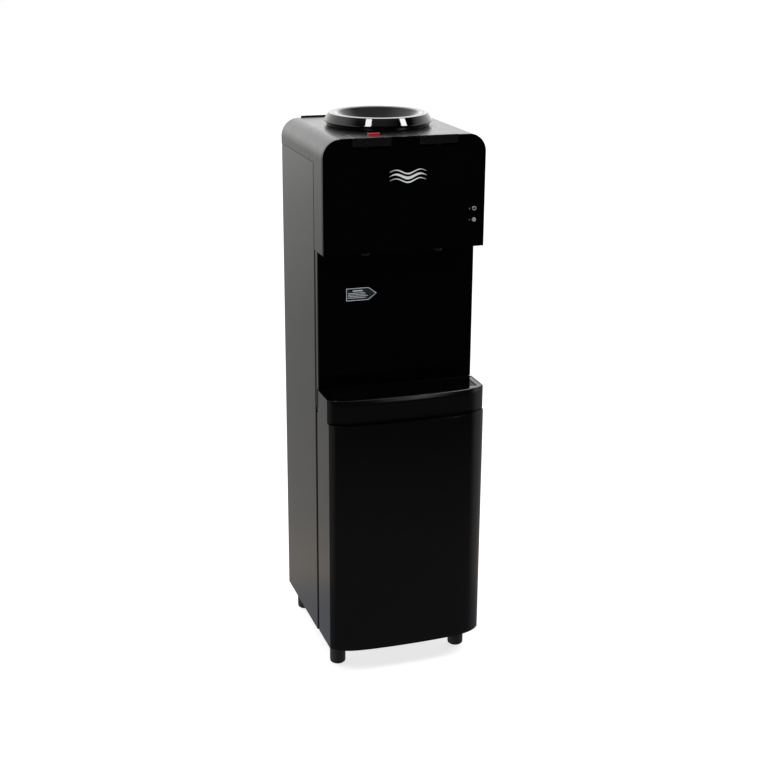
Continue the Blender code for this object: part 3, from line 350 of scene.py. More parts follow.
COPPER = Finish(
    "drawn_copper", "copper", (0.72, 0.36, 0.22), (0.38, 0.17, 0.10), skin=Skin.BRUSHED, drift_scale=45.0,
    skin_values=(("Roughness", 0.26), ("Spread", 0.25), ("Line Scale", 1200.0), ("Lines", 0.15)),
    shader_values=(("Metallic", 1.0),))
FOAM = Finish(
    "pressed_bead_foam", "foam", (0.86, 0.86, 0.84), (0.74, 0.73, 0.70), skin=Skin.BEADS, drift_scale=20.0,
    dust=0.10, skin_values=(("Roughness", 0.88), ("Bead Scale", 260.0), ("Depth", 0.6)))
WHITE_PLASTIC = Finish(
    "white_natural_plastic", "white_plastic", (0.78, 0.78, 0.75), (0.70, 0.69, 0.65), drift_scale=25.0, dust=0.05,
    skin_values=(("Roughness", 0.34), ("Smudge", 0.12), ("Texture Scale", 1300.0), ("Texture", 0.25)),
    shader_values=(("Subsurface Weight", 0.08),))
SILICONE = Finish(
    "milky_silicone_hose", "silicone", (0.80, 0.80, 0.77), (0.70, 0.69, 0.65), drift_scale=35.0,
    skin_values=(("Roughness", 0.42), ("Smudge", 0.10), ("Texture Scale", 1500.0), ("Texture", 0.15)),
    shader_values=(("Subsurface Weight", 0.15),))
ENAMEL = Finish(
    "black_shell_enamel", "compressor_black", (0.0080, 0.0080, 0.0088), (0.0150, 0.0148, 0.0150), drift_scale=25.0,
    dust=0.35, skin_values=(("Roughness", 0.24), ("Smudge", 0.2), ("Texture Scale", 700.0), ("Texture", 0.35)))


# Shapes


def outline_arc(centre: Flat, radius: float, start: float, end: float, steps: int) -> list[Flat]:
    """Return points along an arc, its angles in degrees."""
    return [(centre[0] + radius * math.cos(math.radians(start + (end - start) * step / steps)),
             centre[1] + radius * math.sin(math.radians(start + (end - start) * step / steps)))
            for step in range(steps + 1)]


def softened_corners(points: Sequence[Flat], radius: float | Sequence[float], closed: bool = True,
                     steps: int = 4) -> list[Flat]:
    """Round the corners of an outline or a profile.

    Args:
        points: The corners in order.
        radius: How far from each corner its round starts, for all or for each.
        closed: Whether the last corner joins the first.
        steps: Segments in each round.

    Returns:
        The rounded outline.
    """
    count = len(points)
    radii = [radius] * count if isinstance(radius, float) else list(radius)
    result: list[Flat] = []
    for index, corner in enumerate(points):
        if radii[index] <= 0 or (not closed and index in (0, count - 1)):
            result.append(corner)
            continue
        here = Vector(corner)
        before, after = Vector(points[index - 1]) - here, Vector(points[(index + 1) % count]) - here
        start = here + before.normalized() * min(radii[index], before.length * 0.48)
        end = here + after.normalized() * min(radii[index], after.length * 0.48)
        for step in range(steps + 1):
            t = step / steps
            point = start * (1 - t) ** 2 + here * (2 * t * (1 - t)) + end * t ** 2
            result.append((point.x, point.y))
    return result


def bowed_outline(half: float, y_back: float, y_corner: float, y_crown: float, inset: float = 0.0,
                  steps: int = 72) -> list[Flat]:
    """Return the plan of a box whose front bows out: a wide arc plus a quick turn near each side corner.

    Args:
        half: Half the width.
        y_back: Back edge.
        y_corner: Where the front starts at its corners.
        y_crown: Front of the crown.
        inset: How far the front and sides are moved in.
        steps: Segments across the front.

    Returns:
        The outline, front first and from left to right.
    """
    arc_share, corner_power = 0.3, 8
    half, y_corner, y_crown = half - inset, y_corner + inset, y_crown + inset
    front = []
    for step in range(steps + 1):
        share = math.sin(math.pi / 2 * (2 * step / steps - 1))
        rise = arc_share * (1 - share ** 2) + (1 - arc_share) * (1 - abs(share) ** corner_power)
        front.append((half * share, y_corner - (y_corner - y_crown) * rise))
    return [*front, (half, y_back), (-half, y_back)]


def box_shape(x: Flat, y: Flat, z: Flat, rounding: float = 0.0, segments: int = 2) -> bmesh.types.BMesh:
    """Return a box from its span along each axis, all its edges rounded where a rounding is given."""
    bm = bmesh.new()
    low, high = Vector((min(x), min(y), min(z))), Vector((max(x), max(y), max(z)))
    matrix = Matrix.Translation((low + high) / 2) @ Matrix.Diagonal((*(high - low), 1.0))
    bmesh.ops.create_cube(bm, size=1.0, matrix=matrix)
    if rounding:
        bmesh.ops.bevel(bm, geom=list(bm.edges), offset=rounding, segments=segments, profile=0.5, affect="EDGES",
                        material=-1)
    return bm


def prism_shape(outline: Sequence[Flat], low: float, high: float, axis: Axis = Axis.Z,
                hole: Sequence[Flat] = ()) -> bmesh.types.BMesh:
    """Return a flat outline made solid between two heights along an axis.

    Args:
        outline: (x, y) points for Z, (x, z) points for Y or (y, z) points for X.
        low: Lower end along the axis.
        high: Upper end along the axis.
        axis: Direction of the extrusion.
        hole: Outline of the same number of points, left open inside the first one.

    Returns:
        The closed shape.
    """
    bm = bmesh.new()
    spread = {Axis.Z: lambda a, b: (a, b, low), Axis.Y: lambda a, b: (a, low, b), Axis.X: lambda a, b: (low, a, b)}
    ring = [bm.verts.new(spread[axis](*point)) for point in outline]
    if hole:
        inner = [bm.verts.new(spread[axis](*point)) for point in hole]
        loops = [bm.edges.new((one[i - 1], one[i])) for one in (ring, inner) for i in range(len(one))]
        bmesh.ops.bridge_loops(bm, edges=loops)
    else:
        bm.faces.new(ring)
    lift = bmesh.ops.extrude_face_region(bm, geom=list(bm.faces))["geom"]
    direction = Vector([float(axis is one) for one in Axis])
    bmesh.ops.translate(bm, vec=direction * (high - low), verts=[v for v in lift if isinstance(v, bmesh.types.BMVert)])
    bmesh.ops.recalc_face_normals(bm, faces=bm.faces)
    return bm


TURNS = {Axis.X: Matrix.Rotation(math.pi / 2, 4, "Y"), Axis.Y: Matrix.Rotation(-math.pi / 2, 4, "X"),
         Axis.Z: Matrix.Identity(4)}


def turned_shape(profile: Sequence[Flat], centre: Spot, axis: Axis = Axis.Z, steps: int = ROUND_STEPS,
                 closed: bool = True) -> bmesh.types.BMesh:
    """Return a profile spun all the way round an axis.

    Args:
        profile: (radius, height) points; an open one starts and ends on the axis.
        centre: Where the profile's zero lies.
        axis: The axis it turns about, which its heights run along.
        steps: Segments of the turn.
        closed: Whether the last point joins the first.

    Returns:
        The closed shape.
    """
    bm = bmesh.new()
    verts = [bm.verts.new((radius, 0.0, height)) for radius, height in profile]
    pairs = list(zip(verts, verts[1:])) + ([(verts[-1], verts[0])] if closed else [])
    edges = [bm.edges.new(pair) for pair in pairs]
    bmesh.ops.spin(bm, geom=[*verts, *edges], cent=(0, 0, 0), axis=(0, 0, 1), angle=math.tau, steps=steps,
                   use_merge=True)
    bmesh.ops.remove_doubles(bm, verts=bm.verts, dist=MERGE)
    bmesh.ops.recalc_face_normals(bm, faces=bm.faces)
    bmesh.ops.transform(bm, matrix=Matrix.Translation(centre) @ TURNS[axis], verts=bm.verts)
    return bm


def rod_shape(radius: float, span: Span, centre: Spot, axis: Axis = Axis.Z,
              steps: int = ROUND_STEPS) -> bmesh.types.BMesh:
    """Return a plain round bar between two heights along an axis, which also serves to cut a bore."""
    low, high = span
    return turned_shape([(0, low), (radius, low), (radius, high), (0, high)], centre, axis, steps, closed=False)


def plan_centre(node: str) -> Spot:
    """Return the middle of a CAD node's box, seen from above, at height zero."""
    low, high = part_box(node)
    return (low.x + high.x) / 2, (low.y + high.y) / 2, 0.0


def smooth_path(points: Sequence[Spot], per_span: int = 8) -> list[Vector]:
    """Return points on a smooth curve through the given ones."""
    knots = [Vector(point) for point in points]
    knots = [2 * knots[0] - knots[1], *knots, 2 * knots[-1] - knots[-2]]
    path = []
    for before, start, end, after in zip(knots, knots[1:], knots[2:], knots[3:]):
        for step in range(per_span):
            t = step / per_span
            path.append(0.5 * (2 * start + (end - before) * t
                               + (2 * before - 5 * start + 4 * end - after) * t * t
                               + (3 * start - before - 3 * end + after) * t * t * t))
    return [*path, knots[-2]]


def merged(shapes: Iterable[bmesh.types.BMesh]) -> bmesh.types.BMesh:
    """Put several shapes into one, and free them."""
    whole = bmesh.new()
    for shape in shapes:
        mesh = bpy.data.meshes.new("part")
        shape.to_mesh(mesh)
        shape.free()
        whole.from_mesh(mesh)
        bpy.data.meshes.remove(mesh)
    return whole


def moved(shape: bmesh.types.BMesh, matrix: Matrix) -> bmesh.types.BMesh:
    """Return the shape after a move or a turn."""
    bmesh.ops.transform(shape, matrix=matrix, verts=shape.verts)
    return shape


def settle(obj: bpy.types.Object) -> None:
    """Apply the modifiers of an object to its mesh."""
    graph = bpy.context.evaluated_depsgraph_get()
    before = obj.data
    obj.data = bpy.data.meshes.new_from_object(obj.evaluated_get(graph), depsgraph=graph)
    obj.modifiers.clear()
    if isinstance(before, bpy.types.Mesh):
        bpy.data.meshes.remove(before)


def linked_object(name: str, shape: bmesh.types.BMesh) -> bpy.types.Object:
    """Turn a shape into an object of the scene."""
    mesh = bpy.data.meshes.new(name)
    shape.to_mesh(mesh)
    shape.free()
    obj = bpy.data.objects.new(name, mesh)
    bpy.context.scene.collection.objects.link(obj)
    return obj


def dress(obj: bpy.types.Object, body: str, finish: Finish, replaced: Sequence[str] = (),
          sharp: float = SHARP_ANGLE) -> bpy.types.Object:
    """Give a finished mesh its shading, its finish and its body.

    Args:
        obj: The piece, its place in its mesh.
        body: The CAD body it rides on.
        finish: Its finish.
        replaced: CAD nodes that it stands for.
        sharp: Edges steeper than this, in degrees, stay sharp.

    Returns:
        The piece.
    """
    obj.data.shade_smooth()
    obj.data.set_sharp_from_angle(angle=math.radians(sharp))
    normals = obj.modifiers.new("flat_faces_stay_flat", "WEIGHTED_NORMAL")
    normals.keep_sharp = True
    obj.data.materials.clear()
    obj.data.materials.append(finish.material())
    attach(obj, body)
    if replaced:
        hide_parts(*replaced)
    LOG.info("%s: %s, on %s", obj.name, finish.name, body)
    return obj


def add_piece(name: str, shape: bmesh.types.BMesh, finish: Finish, body: str = CABINET, *,
              replaced: Sequence[str] = (), cuts: Sequence[bmesh.types.BMesh] = (),
              joins: Sequence[bmesh.types.BMesh] = (), bevel: float = 0.0, segments: int = 2,
              bevel_angle: float = 30.0, sharp: float = SHARP_ANGLE) -> bpy.types.Object:
    """Make a piece of the dispenser from a shape.

    Args:
        name: Name of the piece.
        shape: Its shape, which is freed.
        finish: Its finish.
        body: The CAD body it rides on.
        replaced: CAD nodes that it stands for.
        cuts: Shapes taken out of it.
        joins: Shapes joined to it.
        bevel: Width of the rounded edges after the cuts.
        segments: Segments of those edges.
        bevel_angle: Edges steeper than this, in degrees, are rounded.
        sharp: Edges steeper than this stay sharp in the shading.

    Returns:
        The piece.
    """
    obj = linked_object(name, shape)
    helpers = []
    for operation, tools in (("UNION", joins), ("DIFFERENCE", cuts)):
        for tool in tools:
            helper = linked_object("helper", tool)
            modifier = obj.modifiers.new("cut", "BOOLEAN")
            modifier.operation, modifier.object, modifier.solver = operation, helper, "EXACT"
            helpers.append(helper)
    if bevel:
        modifier = obj.modifiers.new("edges", "BEVEL")
        modifier.width, modifier.segments, modifier.limit_method = bevel, segments, "ANGLE"
        modifier.angle_limit = math.radians(bevel_angle)
        modifier.use_clamp_overlap = True
    if helpers or bevel:
        settle(obj)
        obj.data.name = name
    for helper in helpers:
        bpy.data.objects.remove(helper)
    return dress(obj, body, finish, replaced, sharp)


def add_tube(name: str, points: Sequence[Spot | Vector], radius: float, finish: Finish, body: str = CABINET,
             replaced: Sequence[str] = ()) -> bpy.types.Object:
    """Make a round bar or pipe along a list of points."""
    curve = bpy.data.curves.new(name, "CURVE")
    curve.dimensions = "3D"
    curve.bevel_depth = radius
    curve.bevel_resolution = 3
    curve.use_fill_caps = True
    spline = curve.splines.new("POLY")
    spline.points.add(len(points) - 1)
    for target, point in zip(spline.points, points):
        target.co = (*point, 1.0)
    line = bpy.data.objects.new(name, curve)
    bpy.context.scene.collection.objects.link(line)
    graph = bpy.context.evaluated_depsgraph_get()
    bm = bmesh.new()
    mesh = bpy.data.meshes.new_from_object(line.evaluated_get(graph), depsgraph=graph)
    bm.from_mesh(mesh)
    bpy.data.objects.remove(line)
    bpy.data.meshes.remove(mesh)
    bpy.data.curves.remove(curve)
    bmesh.ops.remove_doubles(bm, verts=bm.verts, dist=MERGE)
    bmesh.ops.recalc_face_normals(bm, faces=bm.faces)
    return add_piece(name, bm, finish, body, replaced=replaced)


def cad_shape(node: str) -> bmesh.types.BMesh:
    """Return a merged copy of a CAD node's mesh, its flat faces joined."""
    bm = bmesh.new()
    bm.from_mesh(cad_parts[node].data)
    bmesh.ops.remove_doubles(bm, verts=bm.verts, dist=CAD_MERGE)
    bmesh.ops.dissolve_limit(bm, angle_limit=math.radians(FLAT_ANGLE), verts=bm.verts, edges=bm.edges)
    return bm


def refined(node: str, finish: Finish, body: str = CABINET, bevel: float = 0.0, segments: int = 2,
            sharp: float = SHARP_ANGLE) -> bpy.types.Object:
    """Stand for a CAD node with a copy of it that has rounded edges and smooth shading."""
    return add_piece(f"{node}_fine", cad_shape(node), finish, body, replaced=[node], bevel=bevel, segments=segments,
                     sharp=sharp)


# Sub-assemblies


@dataclass(frozen=True)
class Datums:
    """Places that several sub-assemblies share, read from the CAD nodes, in metres."""

    half: float
    y_fascia: float
    y_back: float
    z_bay: float
    z_cover: float
    z_top: float
    tank: Flat

    @classmethod
    def from_frame(cls) -> "Datums":
        """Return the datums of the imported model."""
        housing_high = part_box("upper_housing")[1]
        return cls(half=housing_high.x, y_fascia=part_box("front_fascia")[0].y, y_back=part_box("back_panel")[1].y,
                   z_bay=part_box("drip_tray")[1].z, z_cover=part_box("side_panel_left")[1].z, z_top=housing_high.z,
                   tank=plan_centre("cold_reservoir")[:2])


def arch_outline(half: float, low: float, high: float, radius: float, steps: int = 24) -> list[Flat]:
    """Return the (x, z) outline of a block whose two upper corners are rounded."""
    return [(-half, low), *outline_arc((radius - half, high - radius), radius, 180, 90, steps),
            *outline_arc((half - radius, high - radius), radius, 90, 0, steps), (half, low)]


def screw_head(centre: Spot, axis: Axis, radius: float = 0.0034, outward: int = 1) -> bmesh.types.BMesh:
    """Return a pan-head screw with a cross recess, which stands on its centre and faces along an axis."""
    height = 0.0016
    head = turned_shape([(0.0, 0.0004), (radius * 0.28, 0.0004), (radius * 0.34, height), (radius * 0.55, height),
                         (radius * 0.86, height * 0.72), (radius, height * 0.25), (radius, 0.0), (0.0, 0.0)],
                        (0, 0, 0), Axis.Z, 16, closed=False)
    bars = [box_shape((-radius * long, radius * long), (-radius * wide, radius * wide), (0.0003, 0.0007))
            for long, wide in ((0.3, 0.1), (0.1, 0.3))]
    whole = merged([head, *bars])
    flip = Matrix.Rotation(0.0 if outward > 0 else math.pi, 4, "X")
    return moved(whole, Matrix.Translation(centre) @ TURNS[axis] @ flip)


@dataclass
class Casing:
    """Side panels, top cover, back panel, base pan and feet."""

    datums: Datums
    corner_radius: float = 0.034
    cover_wall: float = 0.0025
    sheet: float = 0.001
    fold_radius: float = 0.0036
    flange: float = 0.011
    key_inner: float = 0.027
    key_outer: float = 0.099
    key_depth: float = 0.042
    collar_hole: float = 0.0793
    edge: float = 0.0006
    hood_lip: float = 0.0037
    hood_height: float = 0.012

    def build(self) -> None:
        """Build the casing."""
        self.build_cover()
        self.build_lugs()
        self.build_sides()
        self.build_back()
        self.build_base()

    def build_cover(self) -> None:
        """Build the top cover, whose front part comes down beside the tap compartment."""
        d = self.datums
        low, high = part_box("upper_housing")
        wall = self.cover_wall
        body = prism_shape(arch_outline(d.half, low.z, high.z, self.corner_radius), low.y, high.y, Axis.Y)
        hollow = prism_shape(arch_outline(d.half - wall, low.z - wall, high.z - wall, self.corner_radius - wall),
                             low.y - wall, high.y - wall, Axis.Y)
        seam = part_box("side_panel_left")[0].y - 0.0008
        side = box_shape((-2 * d.half, 2 * d.half), (seam, high.y + wall), (low.z - wall, d.z_cover + 0.0003))
        hole = rod_shape(self.collar_hole, (-0.02, 0.02), (*d.tank, high.z))
        notches = [box_shape(span, (low.y - wall, d.y_fascia + self.key_depth), (high.z - 2 * wall, high.z + wall))
                   for span in ((-self.key_outer, -self.key_inner), (self.key_inner, self.key_outer))]
        add_piece("top_cover", body, COVER_BLACK, replaced=["upper_housing"], cuts=[hollow, side, hole, *notches],
                  bevel=self.edge, segments=3)

    def build_lugs(self) -> None:
        """Build the four lugs under the cover that hold the keys' pin."""
        pin_low, pin_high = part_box("key_pin")
        pin = (pin_low + pin_high) / 2
        lug, clear = 0.0035, 0.002
        spans = ((-self.key_outer - clear - lug, -self.key_outer - clear), (clear - self.key_inner,
                 clear - self.key_inner + lug), (self.key_inner - clear - lug, self.key_inner - clear),
                 (self.key_outer + clear, self.key_outer + clear + lug))
        blocks = merged([box_shape(span, (pin.y - 0.004, pin.y + 0.004),
                                   (pin.z - 0.004, self.datums.z_top - self.cover_wall), 0.0006) for span in spans])
        bore = rod_shape(KEY_BORE_RADIUS, (-0.12, 0.12), pin, Axis.X, 24)
        add_piece("key_pin_lugs", blocks, GLOSS_BLACK, cuts=[bore])
        refined("key_pin", STEEL)

    def build_sides(self) -> None:
        """Build the two sheet sides with their folded flanges."""
        for side, sign in (("left", -1), ("right", 1)):
            low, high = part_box(f"side_panel_{side}")
            t, out = self.sheet, sign * self.datums.half
            inner = out - sign * self.flange
            outer_path = [(inner, low.y), (out, low.y), (out, high.y), (inner, high.y)]
            inner_path = [(inner, high.y - t), (out - sign * t, high.y - t), (out - sign * t, low.y + t),
                          (inner, low.y + t)]
            outline = (softened_corners(outer_path, self.fold_radius, closed=False, steps=5)
                       + softened_corners(inner_path, self.fold_radius - t, closed=False, steps=5))
            add_piece(f"side_sheet_{side}", prism_shape(outline, low.z, high.z), PAINTED_SHEET,
                      replaced=[f"side_panel_{side}"])

    def build_back(self) -> None:
        """Build the back panel, the hoods over its louvres and its screws."""
        refined("back_panel", BACK_SHEET, bevel=0.0003)
        low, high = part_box("back_panel")
        coil_low, coil_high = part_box("condenser_coil")
        runs, slot_rows = coil_low.z + 0.0025, 8
        pitch = (coil_high.z - coil_low.z - 0.005) / slot_rows
        lip, hoods = high.y + self.hood_lip, []
        for x in (-0.100, 0.020):
            for row in range(slot_rows):
                z = runs + 0.001 + pitch * (row + 0.5)
                mouth = [(high.y, z + self.hood_height), (lip, z + 0.0015), (lip, z - 0.0005)]
                inside = [(lip - 0.0007, z - 0.0005), (lip - 0.0007, z + 0.0012),
                          (high.y, z + self.hood_height - 0.0012)]
                hoods.append(prism_shape(mouth + inside, x - 0.001, x + 0.081, Axis.X))
                cheek = [*mouth, (high.y, z - 0.0005)]
                hoods += [prism_shape(cheek, end, end + 0.0008, Axis.X) for end in (x - 0.0016, x + 0.0808)]
        add_piece("louvre_hoods", merged(hoods), BACK_SHEET)
        spots = [(x, high.y, z) for x in (-0.1475, 0.1475) for z in (low.z + 0.02, 0.62, 0.93)]
        spots += [(x, high.y, self.datums.z_top - 0.012) for x in (-0.095, 0.095)]
        add_piece("back_screws", merged([screw_head(spot, Axis.Y) for spot in spots]), STEEL)

    def build_base(self) -> None:
        """Build the base pan and the four feet under it."""
        refined("base_pan", SATIN_BLACK, bevel=0.0006)
        for end in ("front", "rear"):
            for side in ("left", "right"):
                low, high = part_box(f"foot_{end}_{side}")
                radius, seat = (high.x - low.x) / 2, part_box("base_pan")[0].z
                profile = [(0.0, high.z), (0.005, high.z), (0.005, seat), (radius - 0.0006, seat),
                           (radius - 0.0002, seat - 0.0006), (radius - 0.0002, seat - 0.007),
                           (radius - 0.0010, seat - 0.0078), (radius - 0.0010, seat - 0.0092),
                           (radius, seat - 0.0100), (radius, 0.0045), (radius - 0.0006, 0.0022),
                           (radius - 0.0026, 0.0004), (radius - 0.0040, 0.0), (0.0075, 0.0), (0.0068, 0.0012),
                           (0.0, 0.0012)]
                shape = turned_shape(profile, plan_centre(f"foot_{end}_{side}"), steps=48, closed=False)
                add_piece(f"foot_{end}_{side}_fine", shape, RUBBER, replaced=[f"foot_{end}_{side}"])


@dataclass
class FrontHead:
    """The fascia with its lenses and badge, and the two keys with the child lock."""

    datums: Datums
    corner_radius: float = 0.0335
    edge: float = 0.0007
    key_wall: float = 0.0025
    lens_radius: float = 0.004
    icon_offset: float = 0.0095
    icon_size: float = 0.0017
    ribs: int = 4

    def build(self) -> None:
        """Build the front head."""
        self.build_fascia()
        self.build_lenses()
        self.build_badge()
        self.build_keys()
        self.build_lock()

    def build_fascia(self) -> None:
        """Build the flat front with its two key notches and its lens holes."""
        low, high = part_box("front_fascia")
        key_low, key_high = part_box("hot_key")
        floor = key_low.z - 0.005
        half, radius = high.x, self.corner_radius
        outer, inner = -key_low.x + 0.001, -key_high.x - 0.001
        left_side = [(-half, low.z), *outline_arc((radius - half, high.z - radius), radius, 180, 90, 24),
                     (-outer, high.z), (-outer, floor), (-inner, floor), (-inner, high.z)]
        outline = left_side + [(-x, z) for x, z in reversed(left_side)]
        holes = [self.lens_hole(name) for name in ("heating", "cooling")]
        add_piece("fascia_front", prism_shape(outline, low.y, high.y, Axis.Y), GLOSS_BLACK,
                  replaced=["front_fascia"], cuts=holes, bevel=self.edge, segments=3)

    def lens_hole(self, name: str) -> bmesh.types.BMesh:
        """Return the cutter for a lens."""
        low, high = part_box(f"{name}_lens")
        radius = self.lens_radius + 0.0003
        return rod_shape(radius, (-0.01, 0.01), (low + high) / 2, Axis.Y, SMALL_STEPS)

    def build_lenses(self) -> None:
        """Build a ring-shaped lens for heating and a domed one for cooling, each with a small mark beside it."""
        r = self.lens_radius
        for name in ("heating", "cooling"):
            low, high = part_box(f"{name}_lens")
            middle = (low + high) / 2
            depth = high.y - middle.y
            if name == "heating":
                ring = [(r, -depth), (r, depth - 0.0003), (r - 0.0003, depth), (r - 0.0013, depth),
                        (r - 0.0016, depth - 0.0004), (r - 0.0016, -depth)]
                shape = turned_shape([(a, -b) for a, b in ring], middle, Axis.Y, SMALL_STEPS)
                core = [(0.0, -depth), (r - 0.0017, -depth), (r - 0.0017, depth - 0.0009), (0.0012, depth - 0.0004),
                        (0.0, depth - 0.0003)]
                add_piece("heating_lens_core", turned_shape([(a, -b) for a, b in core], middle, Axis.Y, SMALL_STEPS,
                                                            closed=False), SATIN_BLACK)
            else:
                dome = [(0.0, -depth), (r, -depth), (r, depth - 0.0009), (r - 0.0004, depth - 0.0004),
                        (r * 0.6, depth - 0.0001), (0.0, depth)]
                shape = turned_shape([(a, -b) for a, b in dome], middle, Axis.Y, SMALL_STEPS, closed=False)
            add_piece(f"{name}_lens_fine", shape, CLEAR_LENS, replaced=[f"{name}_lens"])
            self.build_mark(name, (middle.x - self.icon_offset, middle.z))

    def build_mark(self, name: str, centre: Flat) -> None:
        """Build a printed mark: a flame for heating, a six-armed star for cooling."""
        s, y = self.icon_size, self.datums.y_fascia
        if name == "heating":
            outline = [(centre[0] + s * a, centre[1] + s * b) for a, b in
                       ((0.0, 1.25), (0.35, 0.55), (0.75, 0.1), (0.7, -0.55), (0.3, -0.95), (-0.3, -0.95),
                        (-0.7, -0.55), (-0.7, 0.0), (-0.3, 0.35))]
            shape = prism_shape(softened_corners(outline, s * 0.25), y - 0.00008, y + 0.0002, Axis.Y)
        else:
            arm = [(-0.12 * s, -s), (0.12 * s, -s), (0.12 * s, s), (-0.12 * s, s)]
            arms = [prism_shape(arm, -0.00008 - 0.00002 * turn, 0.0002, Axis.Y) for turn in range(3)]
            shape = merged([moved(one, Matrix.Rotation(math.radians(60 * turn), 4, "Y"))
                            for turn, one in enumerate(arms)])
            moved(shape, Matrix.Translation((centre[0], y, centre[1])))
        add_piece(f"{name}_mark", shape, DIM_INK)

    def ribbon(self, x: Span, z: float, rise: float, width: float, waves: float) -> list[Flat]:
        """Return the outline of a wave-shaped ribbon, thin at its ends.

        Args:
            x: Its two ends.
            z: Its middle height.
            rise: How high its waves are.
            width: Half its width at the middle.
            waves: Half-waves along it.

        Returns:
            The (x, z) outline.
        """
        steps = 72
        upper, lower = [], []
        for step in range(steps + 1):
            share = step / steps
            here = x[0] + (x[1] - x[0]) * share
            height = z + rise * math.sin(waves * math.pi * share)
            half = width * (0.10 + 0.90 * math.sin(math.pi * share))
            upper.append((here, height + half))
            lower.append((here, height - half))
        return [*upper, *reversed(lower)]

    def build_badge(self) -> None:
        """Build the plain badge: three parallel waves, the middle one broad."""
        low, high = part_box("badge")
        middle = (low.z + high.z) / 2
        for name, rise, width, replaced in (("upper", 0.0078, 0.0013, []), ("middle", 0.0, 0.0027, ["badge"]),
                                            ("lower", -0.0078, 0.0013, [])):
            outline = self.ribbon((low.x, high.x), middle + rise, 0.0036, width, 3)
            add_piece(f"badge_wave_{name}", prism_shape(outline, low.y, high.y, Axis.Y), SILVER_FOIL,
                      replaced=replaced, bevel=0.0002, bevel_angle=50)

    def build_keys(self) -> None:
        """Build the two hollow keys, the hot one with a slot for its lock."""
        pin_low, pin_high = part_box("key_pin")
        pin = (pin_low + pin_high) / 2
        lock_low, lock_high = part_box("child_lock")
        for name in ("hot_key", "cold_key"):
            low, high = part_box(name)
            wall = self.key_wall
            shell = box_shape((low.x, high.x), (low.y, high.y), (low.z, high.z), 0.0009, 3)
            hollow = box_shape((low.x + wall, high.x - wall), (low.y + wall, high.y - wall),
                               (low.z - wall, high.z - wall), 0.0006)
            cuts = [hollow, rod_shape(KEY_BORE_RADIUS, (-0.05, 0.05), ((low.x + high.x) / 2, pin.y, pin.z), Axis.X, 24)]
            if name == "hot_key":
                y_lock = ((lock_low.y + lock_high.y) / 2 - 0.0038, (lock_low.y + lock_high.y) / 2 + 0.0038)
                cuts.append(box_shape((lock_low.x - 0.0045, lock_high.x + 0.0065), y_lock,
                                      (high.z - 2 * wall, high.z + wall)))
            add_piece(f"{name}_fine", shell, COVER_BLACK, name, replaced=[name], cuts=cuts)

    def build_lock(self) -> None:
        """Build the red lock: a ribbed tab on a wider foot that holds it under the key."""
        low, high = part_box("child_lock")
        edge = 0.002
        tab_x, tab_y = (low.x + edge, high.x - edge), (low.y + edge, high.y - edge)
        tab = box_shape(tab_x, tab_y, (low.z + 0.0025, high.z), 0.0008, 3)
        foot = box_shape((low.x, high.x), (low.y, high.y), (low.z, low.z + 0.003))
        pitch = (tab_x[1] - tab_x[0]) / (self.ribs + 1)
        grooves = [box_shape((x - 0.0005, x + 0.0005), (tab_y[0] - edge, tab_y[1] + edge),
                             (high.z - 0.0006, high.z + edge))
                   for x in (tab_x[0] + pitch * (rib + 1) for rib in range(self.ribs))]
        add_piece("child_lock_fine", tab, RED_PLASTIC, "child_lock", replaced=["child_lock"], joins=[foot],
                  cuts=grooves, bevel=0.0002)


